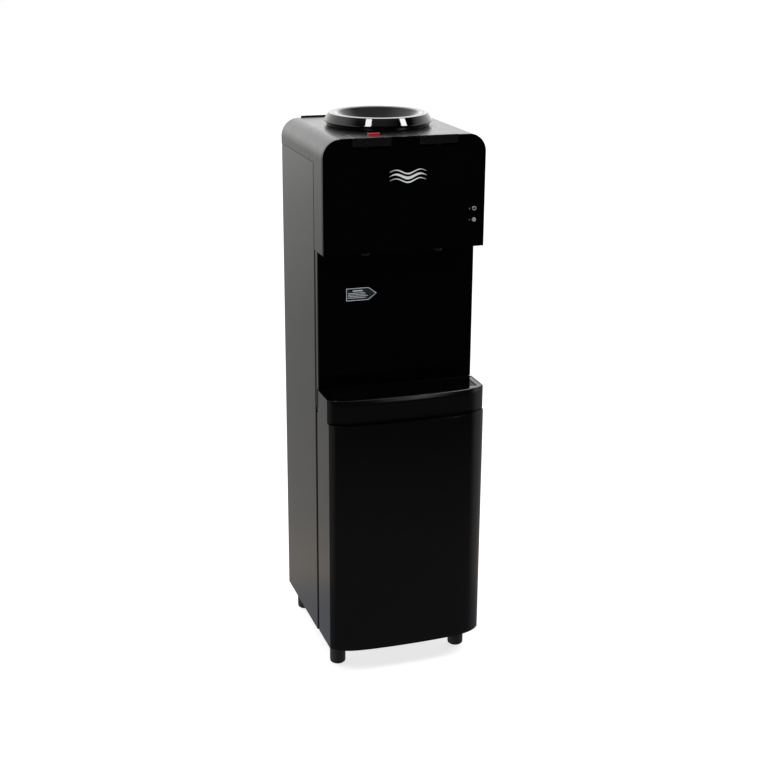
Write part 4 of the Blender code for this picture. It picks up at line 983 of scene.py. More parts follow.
@dataclass
class CupBay:
    """The recessed wall behind the cups with its label, the plate above it and the two spouts."""

    datums: Datums
    wall: float = 0.0025
    corner: float = 0.004
    border: float = 0.0008
    margin: float = 0.0007
    print_height: float = 0.0001
    rows: int = 4

    def build(self) -> None:
        """Build the cup bay."""
        self.build_wall()
        self.build_label()
        refined("underside_plate", SATIN_BLACK, bevel=0.0004)
        self.build_spouts()

    def build_wall(self) -> None:
        """Build the bay's wall with its rounded front corners and the relief for the tray's ends."""
        low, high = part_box("bay_panel")
        t, half = self.wall, high.x
        front = softened_corners([(-half, high.y), (-half, low.y), (half, low.y), (half, high.y)], self.corner,
                                 closed=False, steps=6)
        rear = softened_corners([(half - t, high.y), (half - t, low.y + t), (t - half, low.y + t),
                                 (t - half, high.y)], self.corner - t, closed=False, steps=6)
        relief = [box_shape(span, (low.y - t, low.y + 0.009), (low.z - t, self.datums.z_bay + 0.0002))
                  for span in ((half - 0.0035, half + 0.02), (-half - 0.02, 0.0035 - half))]
        add_piece("bay_wall", prism_shape(front + rear, low.z, high.z), GLOSS_BLACK, replaced=["bay_panel"],
                  cuts=relief, bevel=0.0003)

    def build_label(self) -> None:
        """Build the arrow-shaped label with a printed border and rows of plain bars."""
        low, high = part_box("instruction_label")
        length, height = high.x - low.x, high.z - low.z
        straight = 0.73 * length
        arrow = [(0.0, 0.0), (straight, 0.0), (length, height / 2), (straight, height), (0.0, height)]
        outline = [(low.x + x, low.z + z) for x, z in arrow]
        add_piece("label_film_fine", prism_shape(softened_corners(outline, 0.0008), low.y, high.y, Axis.Y), LABEL_FILM,
                  replaced=["instruction_label"])
        inwards = ((1, 1), (-0.42, 1), (-1.55, 0), (-0.42, -1), (1, -1))
        rim, core = ([(x + dx * depth, z + dz * depth) for (x, z), (dx, dz) in zip(outline, inwards)]
                     for depth in (self.margin, self.margin + self.border))
        face = low.y - self.print_height
        border = prism_shape(rim, face, low.y + 0.0001, Axis.Y, hole=core)
        bars = [box_shape((low.x + 0.013, low.x + 0.032), (face, low.y + 0.0001), (high.z - 0.0068, high.z - 0.0050))]
        words = (5, 3, 7, 4, 2, 6, 3, 5, 4)
        for row in range(self.rows):
            z, x, index = high.z - 0.0100 - 0.0030 * row, low.x + 0.004, row * 2
            while x < low.x + straight - 0.008:
                width = 0.0009 * words[index % len(words)]
                bars.append(box_shape((x, x + width), (face, low.y + 0.0001), (z - 0.0005, z + 0.0005)))
                x, index = x + width + 0.0009, index + 1
        add_piece("label_border", border, PALE_INK)
        add_piece("label_bars", merged(bars), PALE_INK)

    def build_spouts(self) -> None:
        """Build the two spouts with their rounded tips."""
        for name in ("hot", "cold"):
            low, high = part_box(f"{name}_spout")
            radius = (high.x - low.x) / 2
            profile = [(radius, high.z), (radius, low.z + 0.0135), (radius - 0.0003, low.z + 0.0125),
                       (0.0086, low.z + 0.0016), (0.0081, low.z + 0.0004), (0.0074, low.z), (0.0056, low.z),
                       (0.0050, low.z + 0.0006), (0.0050, high.z)]
            add_piece(f"{name}_spout_fine", turned_shape(profile, plan_centre(f"{name}_spout"), steps=48), GLOSS_BLACK,
                      replaced=[f"{name}_spout"])


@dataclass
class DripTray:
    """The bowed tray with its shaved lip, its rails and the lift-off grille."""

    datums: Datums
    y_corner: float = -0.141
    y_crown: float = -0.166
    lip: float = 0.0065
    lip_height: float = 0.008
    rim: float = 0.0025
    lip_fillet: float = 0.0022
    grille_depth: float = 0.052
    columns: int = 44
    rows: int = 8
    basin_wall: float = 0.005
    floor_height: float = 0.0132
    ledge_gap: float = 0.0003
    rail_gap: float = 0.0005
    overshoot: float = 0.002

    def build(self) -> None:
        """Build the tray, its rails and its grille."""
        self.build_tray()
        self.build_grille()
        for side in ("left", "right"):
            refined(f"tray_rail_{side}", STEEL, bevel=0.0006)
        refined("cross_member", STEEL, bevel=0.0004)

    def plan(self, inset: float, y_back: float, half: float) -> list[Flat]:
        """Return the plan of the basin or the grille, moved inwards by an inset."""
        return bowed_outline(half, y_back - inset, self.y_corner, self.y_crown + self.lip, inset)

    def ring_heights(self, top: float) -> list[tuple[float, float]]:
        """Return (share of the lip, height) up the shaved front, with a fillet at both its edges."""
        side = softened_corners([(0.0, -0.03), (0.0, 0.0), (self.lip, self.lip_height), (self.lip + 0.01,
                                 self.lip_height)], self.lip_fillet, closed=False, steps=5)
        return [(a / self.lip, top - self.lip_height + b) for a, b in side[1:-1]]

    def build_tray(self) -> None:
        """Build the tray from its bottom edge up, ring by ring."""
        low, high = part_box("drip_tray")
        half = high.x
        outline = bowed_outline(half, high.y, self.y_corner, self.y_crown)
        bm = bmesh.new()
        bm.faces.new([bm.verts.new((x, y, low.z)) for x, y in outline])
        ring = list(bm.edges)
        base = {}
        for vert in bm.verts:
            base[round(vert.co.x, 6), vert.co.y < self.y_corner + MERGE] = vert.co.y
        for share, z in self.ring_heights(high.z):
            lifted = bmesh.ops.extrude_edge_only(bm, edges=ring)["geom"]
            ring = [item for item in lifted if isinstance(item, bmesh.types.BMEdge)]
            for vert in (item for item in lifted if isinstance(item, bmesh.types.BMVert)):
                front = vert.co.y < self.y_corner + self.lip + MERGE
                vert.co.z = z
                if front:
                    rest = base[round(vert.co.x, 6), True]
                    vert.co.y = rest + share * self.lip * (1 - (vert.co.x / half) ** 2)
        bmesh.ops.contextual_create(bm, geom=ring)
        bmesh.ops.recalc_face_normals(bm, faces=bm.faces)
        ledge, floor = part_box("drip_grille")[0].z - self.ledge_gap, low.z + self.floor_height
        rail_low, rail_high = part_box("tray_rail_right")
        over, wall = self.overshoot, self.basin_wall
        pockets = [box_shape((sign * (rail_low.x - self.rail_gap), sign * (rail_high.x + self.rail_gap)),
                             (rail_low.y - over, high.y + over), (low.z - over, rail_high.z + self.rail_gap))
                   for sign in (-1, 1)]
        pockets.append(box_shape((wall - rail_low.x, rail_low.x - wall), (rail_low.y, high.y - wall),
                                 (low.z - over, floor - 0.0025)))
        cuts = [prism_shape(self.plan(wall, high.y, half), floor, ledge + 0.0001),
                prism_shape(self.plan(self.rim, high.y, half), ledge, high.z + over), *pockets]
        add_piece("drip_tray_fine", bm, TRAY_BLACK, "tray", replaced=["drip_tray"], cuts=cuts, bevel=0.0005,
                  segments=2, bevel_angle=50, sharp=50)

    def build_grille(self) -> None:
        """Build the grille: a smooth apron in front and a perforated field of small square holes behind it."""
        low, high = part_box("drip_grille")
        tray_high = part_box("drip_tray")[1]
        outline = self.plan(self.rim + 0.0004, tray_high.y, tray_high.x)
        field = ((low.x + 0.008, high.x - 0.008), (high.y - 0.004 - self.grille_depth, high.y - 0.004))
        apron = prism_shape(outline, low.z, high.z)
        window = box_shape(*field, (low.z - 0.002, high.z + 0.002))
        add_piece("grille_apron", apron, GLOSS_BLACK, "grille", replaced=["drip_grille"], cuts=[window],
                  bevel=0.0005, bevel_angle=50)
        bm = bmesh.new()
        size = (field[0][1] - field[0][0], field[1][1] - field[1][0])
        centre = (sum(field[0]) / 2, sum(field[1]) / 2, high.z - 0.0008)
        bmesh.ops.create_grid(bm, x_segments=self.columns, y_segments=self.rows, size=0.5,
                              matrix=Matrix.Translation(centre) @ Matrix.Diagonal((size[0] + 0.0004,
                                                                                   size[1] + 0.0004, 1.0, 1.0)))
        holes = list(bm.faces)
        bmesh.ops.inset_individual(bm, faces=holes, thickness=0.0011)
        bmesh.ops.delete(bm, geom=holes, context="FACES")
        lifted = bmesh.ops.extrude_face_region(bm, geom=list(bm.faces), use_keep_orig=True)["geom"]
        bmesh.ops.translate(bm, vec=(0, 0, -0.0016), verts=[v for v in lifted if isinstance(v, bmesh.types.BMVert)])
        bmesh.ops.recalc_face_normals(bm, faces=bm.faces)
        add_piece("grille_field", bm, GLOSS_BLACK, "grille")
        pitch = size[0] / self.columns
        studs = [turned_shape([(0.0, 0.0007), (0.0004, 0.0006), (0.0006, 0.0), (0.0006, -0.0004), (0.0, -0.0004)],
                              (field[0][0] + pitch * column, field[1][0] + size[1] * row / self.rows, high.z - 0.0008),
                              steps=8, closed=False)
                 for column in range(1, self.columns) for row in range(1, self.rows)]
        add_piece("grille_studs", merged(studs), GLOSS_BLACK, "grille")


@dataclass
class Cabinet:
    """The door with its pins and catch, and the liner behind it."""

    datums: Datums
    y_corner: float = -0.148
    y_crown: float = -0.177
    wall: float = 0.0025
    edge: float = 0.0012
    pin_bore_radius: float = 0.0028
    rib_places: Spot = (-0.07, 0.0, 0.07)
    rib_thickness: float = 0.0016
    rib_depth: float = 0.020

    def build(self) -> None:
        """Build the cabinet."""
        self.build_door()
        self.build_liner()
        for node, finish, body in (("door_magnet", MATT_BLACK, CABINET), ("catch_plate", STEEL, "door"),
                                   ("hinge_pin_lower", STEEL, CABINET), ("hinge_pin_upper", STEEL, CABINET)):
            refined(node, finish, body, bevel=0.0003)

    def build_door(self) -> None:
        """Build the hollow bowed door and the ribs that stiffen it."""
        low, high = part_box("cabinet_door")
        pin_low, pin_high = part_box("hinge_pin_lower")
        pin = (pin_low + pin_high) / 2
        half = high.x
        shell = prism_shape(bowed_outline(half, high.y, self.y_corner, self.y_crown), low.z, high.z)
        hollow = prism_shape(bowed_outline(half, high.y + self.wall, self.y_corner, self.y_crown, self.wall),
                             low.z + self.wall, high.z - self.wall)
        bore = rod_shape(self.pin_bore_radius, (low.z - 0.01, high.z + 0.01), (pin.x, pin.y, 0), steps=24)
        add_piece("door_shell", shell, GLOSS_BLACK, "door", replaced=["cabinet_door"], cuts=[hollow, bore],
                  bevel=self.edge, segments=3, bevel_angle=50, sharp=50)
        y_rib, half_rib, bite = self.y_crown + 0.004, self.rib_thickness / 2, 0.0002
        ribs = [box_shape((x - half_rib, x + half_rib), (y_rib, y_rib + self.rib_depth),
                          (low.z + self.wall - bite, high.z - self.wall + bite)) for x in self.rib_places]
        add_piece("door_ribs", merged(ribs), SATIN_BLACK, "door")

    def build_liner(self) -> None:
        """Build the cabinet's liner with a shelf ledge and a shallow pattern of grooves in its floor."""
        refined("cabinet_liner", SATIN_BLACK, bevel=0.0006)
        low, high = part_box("cabinet_liner")
        slats = [box_shape((x - 0.0015, x + 0.0015), (low.y + 0.008, high.y - 0.008), (low.z + 0.0018, low.z + 0.0026),
                           0.0003) for x in (-0.12 + 0.02 * index for index in range(13))]
        add_piece("liner_floor_slats", merged(slats), SATIN_BLACK)


@dataclass
class BottleSeat:
    """The collar that a bottle stands in, and the probe that opens its cap."""

    datums: Datums
    bowl: float = 0.0765
    spigot: float = 0.0790
    throat: float = 0.044
    depth: float = 0.050
    wall: float = 0.0025

    def bowl_side(self, inset: float) -> list[Flat]:
        """Return the bowl's side from its rim down to the throat."""
        steps, low, rise = 28, -0.010, 0.032
        return [(self.bowl - (self.bowl - self.throat) * math.sin(math.pi / 2 * step / steps) + inset,
                 low + rise * (1 - math.sin(math.pi / 2 * step / steps)) ** 1.3 - inset) for step in range(steps + 1)]

    def build(self) -> None:
        """Build the collar and its probe."""
        z = self.datums.z_top
        outer = [(0.0782, 0.0222), (0.0798, 0.0229), (0.0830, 0.0230), (0.0852, 0.0230), (0.0855, 0.0224),
                 (0.0860, 0.0224), (0.0863, 0.0230), (0.0928, 0.0230), (0.0936, 0.0227), (0.0942, 0.0220),
                 (0.1009, 0.0101), (0.1014, 0.0090), (0.1015, 0.0080), (0.1011, 0.0073), (0.1000, 0.0068),
                 (0.0990, 0.0060), (0.0984, 0.0050), (0.0972, 0.0016), (0.0966, 0.0009), (0.0955, 0.0008)]
        spigot = [(self.spigot, 0.0008), (self.spigot, -0.0125), (self.spigot - 0.0008, -0.014),
                  (self.spigot - self.wall, -0.014)]
        under = [point for point in self.bowl_side(self.wall)
                 if point[1] < 0.012 and point[0] < self.spigot - 2 * self.wall]
        under.insert(0, (self.spigot - self.wall, 0.006))
        foot = -self.depth
        throat = [(self.throat + self.wall, foot), (self.throat - 0.004, foot), (self.throat - 0.004, foot + 0.002),
                  (self.throat, foot + 0.002)]
        profile = [(r, z + h) for r, h in [*outer, *spigot, *under, *throat, *reversed(self.bowl_side(0.0))]]
        add_piece("collar_fine", turned_shape(profile, (*self.datums.tank, 0), steps=128), COLLAR_BLACK, "collar",
                  replaced=["bottle_collar"], sharp=42)
        low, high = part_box("bottle_probe")
        reach = (high.x - low.x) / 2
        probe = [(0.003, high.z), (0.0042, high.z - 0.0006), (0.006, high.z - 0.004), (0.0066, high.z - 0.012),
                 (0.008, low.z + 0.004), (0.0095, low.z + 0.003), (reach, low.z + 0.003), (reach, low.z),
                 (0.003, low.z)]
        shape = turned_shape(probe, (*self.datums.tank, 0), steps=64)
        fins = [moved(box_shape((0.0060, 0.016), (-0.0008, 0.0008), (low.z + 0.0028, low.z + 0.012), 0.0003),
                      Matrix.Translation((*self.datums.tank, 0)) @ Matrix.Rotation(math.radians(60 * turn), 4, "Z"))
                for turn in range(6)]
        add_piece("probe_fine", merged([shape, *fins]), WHITE_PLASTIC, "collar", replaced=["bottle_probe"])


@dataclass
class Cooling:
    """The compressor on its plate, and the condenser on the back with its wires and pipes."""

    datums: Datums
    wire_radius: float = 0.0007
    wires_per_side: int = 17
    wire_pitch: float = 0.0068
    pipe_radius: float = 0.0030

    def build(self) -> None:
        """Build the cooling parts."""
        self.build_compressor()
        self.build_condenser()
        self.build_pipes()

    def build_compressor(self) -> None:
        """Build the compressor's welded shell, its terminal cover and its rubber-mounted plate."""
        low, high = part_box("compressor")
        centre = plan_centre("compressor")
        shell = [(0.0, high.z), (0.014, high.z - 0.0004), (0.030, high.z - 0.003), (0.040, high.z - 0.009),
                 (0.0475, high.z - 0.0185), (0.0515, high.z - 0.031), (0.053, high.z - 0.045), (0.053, low.z + 0.0785),
                 (0.0545, low.z + 0.0755), (0.056, low.z + 0.0745), (0.056, low.z + 0.0680), (0.0545, low.z + 0.0670),
                 (0.053, low.z + 0.0640), (0.053, low.z + 0.030), (0.0505, low.z + 0.018), (0.042, low.z + 0.007),
                 (0.030, low.z), (0.0, low.z)]
        add_piece("compressor_shell", turned_shape(shell, centre, closed=False), ENAMEL, replaced=["compressor"])
        side = centre[0] - 0.053
        cover = box_shape((side - 0.016, side + 0.006), (centre[1] - 0.020, centre[1] + 0.020),
                          (low.z + 0.080, low.z + 0.125), 0.003, 3)
        add_piece("terminal_cover", cover, SATIN_BLACK)
        refined("compressor_mount", STEEL, bevel=0.0004)
        plate_low, plate_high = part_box("compressor_mount")
        washers = [turned_shape([(0.0032, 0.0), (0.0075, 0.0), (0.0075, 0.0016), (0.0050, 0.0024), (0.0050, 0.0048),
                                 (0.0032, 0.0048)], (x, y, plate_high.z), steps=32)
                   for x in (plate_low.x + 0.012, plate_high.x - 0.012)
                   for y in (plate_low.y + 0.012, plate_high.y - 0.012)]
        add_piece("mount_grommets", merged(washers), RUBBER)

    def build_condenser(self) -> None:
        """Build the condenser's serpentine, its upright wires and its brackets."""
        low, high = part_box("condenser_coil")
        radius = (high.y - low.y) / 2
        y, runs = (low.y + high.y) / 2, 9
        pitch = (high.z - low.z - 2 * radius) / (runs - 1)
        reach = high.x - radius - pitch / 2
        route: list[Spot] = [(-reach, y, low.z + radius)]
        for run in range(runs):
            sign, z = (1, -1)[run % 2], low.z + radius + pitch * run
            if run == runs - 1:
                route.append((sign * reach, y, z))
                break
            route += [(sign * (reach + pitch / 2 * math.sin(math.pi * step / 14)), y,
                       z + pitch / 2 * (1 - math.cos(math.pi * step / 14))) for step in range(15)]
        add_tube("condenser_serpentine", route, radius, MATT_BLACK, replaced=["condenser_coil"])
        wires = []
        for side in (-1, 1):
            for index in range(self.wires_per_side):
                x = side * (0.0125 + self.wire_pitch * index)
                if abs(x) > reach:
                    continue
                wires.append(rod_shape(self.wire_radius, (low.z - 0.004, high.z + 0.004), (x, high.y - 0.0001, 0.0),
                                       steps=8))
        add_piece("condenser_wires", merged(wires), MATT_BLACK)
        refined("condenser_strip", MATT_BLACK, bevel=0.0004)

    def build_pipes(self) -> None:
        """Build the copper pipes from the compressor to the condenser and back to the shelf."""
        comp_low, comp_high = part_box("compressor")
        coil_low, coil_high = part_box("condenser_coil")
        y_coil = (coil_low.y + coil_high.y) / 2
        x, y = (comp_low.x + comp_high.x) / 2, (comp_low.y + comp_high.y) / 2
        reach = coil_high.x - 0.0025 - (coil_high.z - coil_low.z - 0.005) / 16
        discharge = [(x - 0.030, y + 0.036, comp_low.z + 0.110), (x - 0.036, y + 0.046, comp_low.z + 0.112),
                     (x - 0.060, y + 0.050, comp_low.z + 0.130), (x - 0.085, y + 0.052, comp_low.z + 0.190),
                     (-reach - 0.004, y_coil - 0.016, coil_low.z - 0.108), (-reach - 0.007, y_coil - 0.001,
                     coil_low.z - 0.086), (-reach - 0.009, y_coil, coil_low.z - 0.030),
                     (-reach - 0.006, y_coil, coil_low.z - 0.005), (-reach, y_coil, coil_low.z + 0.0025)]
        add_tube("discharge_pipe", smooth_path(discharge), 0.0022, COPPER)
        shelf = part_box("tank_shelf")[0].z
        suction = [(x + 0.030, y + 0.034, comp_low.z + 0.112), (x + 0.036, y + 0.044, comp_low.z + 0.118),
                   (x + 0.070, y + 0.048, comp_low.z + 0.170), (x + 0.095, y + 0.040, comp_low.z + 0.330),
                   (x + 0.095, y + 0.038, shelf - 0.120), (x + 0.093, y + 0.034, shelf - 0.030),
                   (x + 0.092, y + 0.030, shelf + 0.002)]
        add_tube("suction_pipe", smooth_path(suction), self.pipe_radius, COPPER)
        drier = [(0.0, -0.045), (0.003, -0.045), (0.0045, -0.040), (0.009, -0.034), (0.009, 0.034), (0.0045, 0.040),
                 (0.003, 0.045), (0.0, 0.045)]
        add_piece("filter_drier", turned_shape(drier, (x + 0.120, y + 0.046, 0.300), steps=48, closed=False), COPPER)


@dataclass
class Plumbing:
    """Tanks, jackets, hoses, taps, rods and springs inside the casing."""

    datums: Datums
    tank_radius: float = 0.080
    tank_wall: float = 0.0012
    cold_foam: float = 0.020
    hot_foam: float = 0.014
    foam_rounding: float = 0.003

    def build(self) -> None:
        """Build the parts that carry water."""
        self.build_reservoir()
        self.build_hot_tank()
        self.build_taps()
        for node, finish in (("cold_hose", SILICONE), ("hot_hose", SILICONE), ("feed_pipe", SILICONE),
                             ("drain_pipe", SILICONE), ("evaporator_coil", COPPER)):
            refined(node, finish, sharp=60)
        refined("tank_shelf", STEEL, bevel=0.0003)

    def build_reservoir(self) -> None:
        """Build the cold reservoir with its rounded bottom edge, and its foam jacket."""
        low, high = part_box("cold_reservoir")
        r, t = self.tank_radius, self.tank_wall
        outer = [(0.0, low.z), (r - 0.006, low.z), (r - 0.0015, low.z + 0.0015), (r, low.z + 0.006), (r, high.z)]
        inner = [(r - t, high.z), (r - t, low.z + 0.0065), (r - t - 0.0015, low.z + t + 0.0015),
                 (r - 0.0065, low.z + t), (0.0, low.z + t)]
        add_piece("reservoir_tank", turned_shape([*outer, *inner], (*self.datums.tank, 0), closed=False), STEEL,
                  replaced=["cold_reservoir"])
        self.build_jacket("reservoir_jacket", self.cold_foam)

    def build_jacket(self, node: str, thickness: float) -> None:
        """Build a foam jacket with rounded ends and a parting groove round its middle."""
        low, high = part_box(node)
        rounding = self.foam_rounding
        outer = (high.x - low.x) / 2
        inner = outer - thickness
        middle = (low.z + high.z) / 2
        profile = [(inner, high.z), (outer - rounding, high.z), (outer - 0.3 * rounding, high.z - 0.3 * rounding),
                   (outer, high.z - rounding), (outer, middle + 0.0012), (outer - 0.0012, middle + 0.0006),
                   (outer - 0.0012, middle - 0.0006), (outer, middle - 0.0012), (outer, low.z + rounding),
                   (outer - 0.3 * rounding, low.z + 0.3 * rounding), (outer - rounding, low.z), (inner, low.z)]
        add_piece(f"{node}_fine", turned_shape(profile, plan_centre(node)), FOAM, replaced=[node])

    def build_hot_tank(self) -> None:
        """Build the hot tank with its domed ends and its jacket."""
        refined("hot_tank", STEEL)
        self.build_jacket("hot_tank_jacket", self.hot_foam)

    def build_taps(self) -> None:
        """Build the two taps with their rods and springs."""
        for name in ("hot", "cold"):
            refined(f"{name}_tap", WHITE_PLASTIC, sharp=30)
            refined(f"{name}_rod", SATIN_BLACK, f"{name}_rod", sharp=30)
            self.build_spring(name)

    def build_spring(self, name: str) -> None:
        """Build a return spring as a fine helix in the CAD spring's place."""
        low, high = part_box(f"{name}_spring")
        wire, turns, steps = 0.0007, 5, 28
        centre, radius = (low + high) / 2, (high.x - low.x) / 2 - 0.0007
        count = turns * steps
        helix = [(centre.x + radius * math.cos(math.tau * step / steps),
                  centre.y + radius * math.sin(math.tau * step / steps),
                  low.z + wire + (high.z - low.z - 2 * wire) * step / count) for step in range(count + 1)]
        add_tube(f"{name}_spring_wire", helix, wire, SPRING_STEEL, replaced=[f"{name}_spring"])


@dataclass
class RearFittings:
    """The two rocker switches in their bezel, the cord's gland and the drain cap."""

    datums: Datums
    mark_height: float = 0.0004
    cap_ribs: int = 20

    def build(self) -> None:
        """Build the fittings on the back."""
        refined("switch_bezel", SATIN_BLACK, bevel=0.0008, segments=3)
        for node, finish in (("heating_switch", RED_PLASTIC), ("cooling_switch", GREEN_PLASTIC)):
            self.build_switch_mark(node, refined(node, finish, node, bevel=0.0004))
        self.build_gland()
        self.build_cap()

    def build_switch_mark(self, node: str, surface: bpy.types.Object) -> None:
        """Build the printed bar on a switch's upper half and the ring on its lower half.

        Args:
            node: The switch's CAD node and body.
            surface: The piece that the marks lie on.
        """
        low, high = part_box(node)
        middle, upper = (low + high) / 2, high.z - 0.0055
        bpy.context.view_layer.update()
        hits = []
        for z in (upper, low.z + 0.0055):
            hit, place, _, _ = surface.ray_cast(Vector((middle.x, high.y + 0.02, z)), Vector((0, -1, 0)))
            hits.append(place.y if hit else high.y)
        bar = box_shape((middle.x - 0.0004, middle.x + 0.0004), (hits[0] - 0.0006, hits[0] + self.mark_height),
                        (upper - 0.0018, upper + 0.0018), 0.0001)
        ring = turned_shape([(0.0018, -0.0006), (0.0018, self.mark_height), (0.0011, self.mark_height),
                             (0.0011, -0.0006)], (middle.x, hits[1], low.z + 0.0055), Axis.Y, 24)
        add_piece(f"{node}_marks", merged([bar, ring]), PALE_INK, node)

    def build_gland(self) -> None:
        """Build the rubber gland that a mains lead would pass through, with its stepped collar."""
        low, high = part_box("cord_gland")
        centre = ((low.x + high.x) / 2, self.datums.y_back, (low.z + high.z) / 2)
        profile = [(0.0045, -0.006), (0.008, -0.006), (0.008, 0.0003), (0.0125, 0.0003), (0.0123, 0.0016),
                   (0.0112, 0.0020), (0.0106, 0.0036), (0.0098, 0.0040), (0.0056, 0.0040), (0.0045, 0.0030)]
        add_piece("gland_fine", turned_shape(profile, centre, Axis.Y, 48), RUBBER, replaced=["cord_gland"])

    def build_cap(self) -> None:
        """Build the drain's cap with ribs round its rim."""
        low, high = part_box("drain_cap")
        centre = ((low.x + high.x) / 2, self.datums.y_back, (low.z + high.z) / 2)
        profile = [(0.0, 0.0105), (0.0105, 0.0104), (0.0122, 0.0098), (0.0129, 0.0086), (0.0133, 0.0030),
                   (0.0138, 0.0004), (0.0100, 0.0003), (0.0100, -0.0018), (0.0, -0.0018)]
        cap = turned_shape(profile, centre, Axis.Y, 64, closed=False)
        ribs = [moved(box_shape((0.0125, 0.0139), (0.0010, 0.0084), (-0.0005, 0.0005), 0.0002),
                      Matrix.Translation(centre) @ Matrix.Rotation(math.tau * rib / self.cap_ribs, 4, "Y"))
                for rib in range(self.cap_ribs)]
        add_piece("drain_cap_fine", merged([cap, *ribs]), WHITE_PLASTIC, replaced=["drain_cap"])


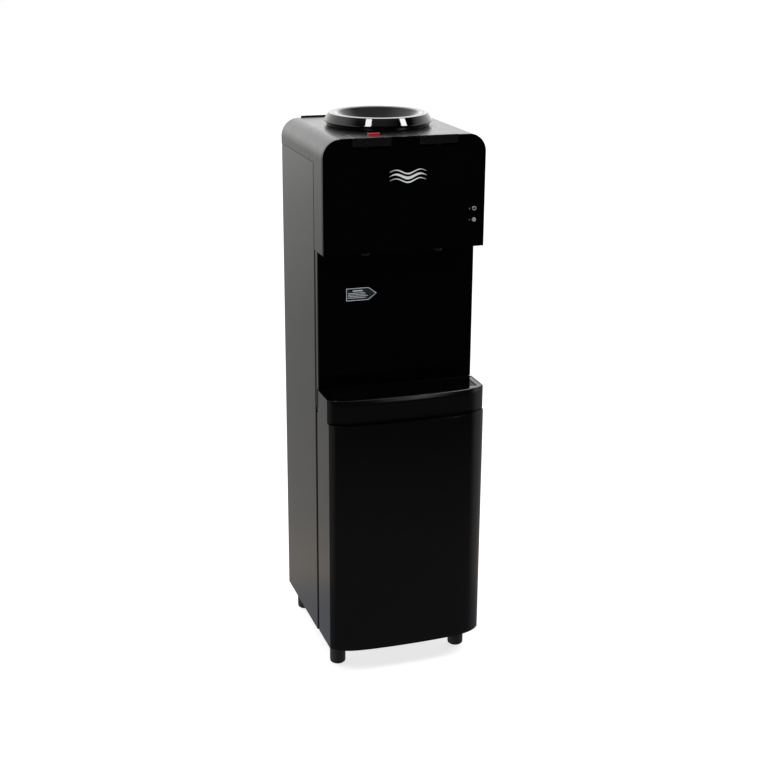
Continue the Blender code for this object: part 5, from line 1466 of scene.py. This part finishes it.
@dataclass
class Studio:
    """The camera, the floor, the surroundings and the lamps."""

    camera_place: Spot = (-0.830, -2.506, 1.420)
    camera_turn: Spot = (71.50, -0.34, -18.27)
    lens_mm: float = 66.3
    sensor_mm: float = 36.0
    softbox_size: Flat = (0.46, 0.80)
    softbox_power: float = 24.0
    softboxes: tuple[Spot, ...] = ((-1.30, -1.34, 2.72), (1.46, -1.26, 2.72))
    aim: Spot = (0.0, 0.04, 1.05)
    floor_size: float = 40.0
    back_tones: tuple[tuple[float, Spot], ...] = (
        (-1.0, (0.33, 0.35, 0.40)), (-0.457, (0.27, 0.28, 0.31)), (-0.437, (0.45, 0.40, 0.36)),
        (-0.40, (0.37, 0.36, 0.345)), (-0.34, (0.36, 0.355, 0.35)), (-0.27, (0.385, 0.385, 0.37)),
        (-0.19, (0.55, 0.55, 0.53)), (-0.13, (0.86, 0.86, 0.84)), (0.0, (1.28, 1.28, 1.26)),
        (0.12, (1.85, 1.85, 1.83)), (0.5, (1.3, 1.3, 1.3)), (1.0, (0.9, 0.9, 0.9)))
    front_tones: tuple[tuple[float, Spot], ...] = (
        (-1.0, (0.14, 0.13, 0.14)), (-0.42, (0.10, 0.10, 0.11)), (-0.30, (0.002, 0.002, 0.002)),
        (0.70, (0.002, 0.002, 0.002)), (0.84, (0.42, 0.42, 0.43)), (1.0, (0.50, 0.50, 0.50)))
    brightest: float = 2.0

    def build(self) -> None:
        """Build the studio."""
        scene = bpy.context.scene
        scene.view_settings.view_transform = "Standard"
        self.build_camera(scene)
        self.build_floor()
        self.build_surroundings(scene)
        self.build_softboxes()

    def build_camera(self, scene: bpy.types.Scene) -> None:
        """Place the camera."""
        data = bpy.data.cameras.new("camera")
        data.lens, data.sensor_width = self.lens_mm, self.sensor_mm
        data.clip_end = 100.0
        camera = bpy.data.objects.new("camera", data)
        camera.location = self.camera_place
        camera.rotation_euler = [math.radians(angle) for angle in self.camera_turn]
        scene.collection.objects.link(camera)
        scene.camera = camera

    def build_floor(self) -> None:
        """Build the pale floor, which gives off some light of its own so that it stays even."""
        bm = bmesh.new()
        bmesh.ops.create_grid(bm, x_segments=2, y_segments=2, size=self.floor_size / 2)
        floor = linked_object("studio_floor", bm)
        material = bpy.data.materials.new("pale_floor")
        material.use_nodes = True
        shader = material.node_tree.nodes["Principled BSDF"]
        cloud = add_node(material.node_tree, "TexNoise", {"Scale": 0.4, "Detail": 2.0})
        tint = add_node(material.node_tree, "Mix", {0: cloud.outputs["Fac"], 6: (0.50, 0.50, 0.50, 1.0),
                                                    7: (0.53, 0.53, 0.53, 1.0)}, data_type="RGBA")
        material.node_tree.links.new(tint.outputs[2], shader.inputs["Base Color"])
        shader.inputs["Roughness"].default_value = 0.9
        shader.inputs["Emission Color"].default_value = (1.0, 1.0, 1.0, 1.0)
        shader.inputs["Emission Strength"].default_value = 0.75
        floor.data.materials.append(material)
        floor.visible_glossy = False

    def tone_ramp(self, tree: bpy.types.NodeTree, height: bpy.types.NodeSocket,
                  tones: Sequence[tuple[float, Spot]]) -> bpy.types.NodeSocket:
        """Return a colour that follows a direction's height, from -1 straight down to 1 straight up."""
        share = add_node(tree, "MapRange", {"Value": height, "From Min": -1.0, "From Max": 1.0})
        ramp = add_node(tree, "ValToRGB", {"Fac": share.outputs[0]})
        stops = ramp.color_ramp.elements
        for level, _ in tones[1:-1]:
            stops.new((level + 1) / 2)
        for index, (_, tone) in enumerate(tones):
            stops[index].color = (*(value / self.brightest for value in tone), 1.0)
        return ramp.outputs["Color"]

    def build_surroundings(self, scene: bpy.types.Scene) -> None:
        """Build a white backdrop that fades to a dark room in front, as a gloss black surface mirrors it."""
        world = bpy.data.worlds.new("studio")
        scene.world = world
        world.use_nodes = True
        tree = world.node_tree
        tree.nodes.clear()
        direction = add_node(tree, "TexCoord", {}).outputs["Generated"]
        parts = add_node(tree, "SeparateXYZ", {"Vector": direction})
        back = self.tone_ramp(tree, parts.outputs["Z"], self.back_tones)
        front = self.tone_ramp(tree, parts.outputs["Z"], self.front_tones)
        behind = add_node(tree, "MapRange", {"Value": parts.outputs["Y"], "From Min": -0.30, "From Max": 0.30},
                          interpolation_type="SMOOTHSTEP")
        across = add_node(tree, "Math", {0: parts.outputs["X"]}, operation="ABSOLUTE")
        beside = add_node(tree, "MapRange", {"Value": across.outputs[0], "From Min": 0.75, "From Max": 0.95,
                                             "To Max": 0.9}, interpolation_type="SMOOTHSTEP")
        share = add_node(tree, "Math", {0: behind.outputs[0], 1: beside.outputs[0]}, operation="MAXIMUM")
        room = add_node(tree, "Mix", {0: share.outputs[0], 6: front, 7: back}, data_type="RGBA")
        seen = add_node(tree, "Background", {"Color": room.outputs[2], "Strength": self.brightest})
        white = add_node(tree, "Background", {"Color": (1.0, 1.0, 1.0, 1.0), "Strength": 1.0})
        to_camera = add_node(tree, "LightPath", {}).outputs["Is Camera Ray"]
        both = add_node(tree, "MixShader", {0: to_camera, 1: seen.outputs[0], 2: white.outputs[0]})
        output = add_node(tree, "OutputWorld", {})
        tree.links.new(both.outputs[0], output.inputs["Surface"])

    def build_softboxes(self) -> None:
        """Hang two tall softboxes in front, to both sides."""
        for index, place in enumerate(self.softboxes):
            data = bpy.data.lights.new(f"softbox_{index}", "AREA")
            data.shape = "RECTANGLE"
            data.size, data.size_y = self.softbox_size
            data.energy = self.softbox_power
            lamp = bpy.data.objects.new(data.name, data)
            lamp.location = place
            lamp.rotation_euler = (Vector(self.aim) - Vector(place)).to_track_quat("-Z", "Y").to_euler()
            bpy.context.scene.collection.objects.link(lamp)


def main() -> None:
    """Build the studio and every sub-assembly."""
    logging.basicConfig(level=logging.INFO, format="%(name)s: %(message)s")
    Studio().build()
    datums = Datums.from_frame()
    for assembly in (Casing, FrontHead, CupBay, DripTray, Cabinet, BottleSeat, Plumbing, Cooling, RearFittings):
        LOG.info("building %s", assembly.__name__)
        assembly(datums).build()


if __name__ == "__main__":
    main()
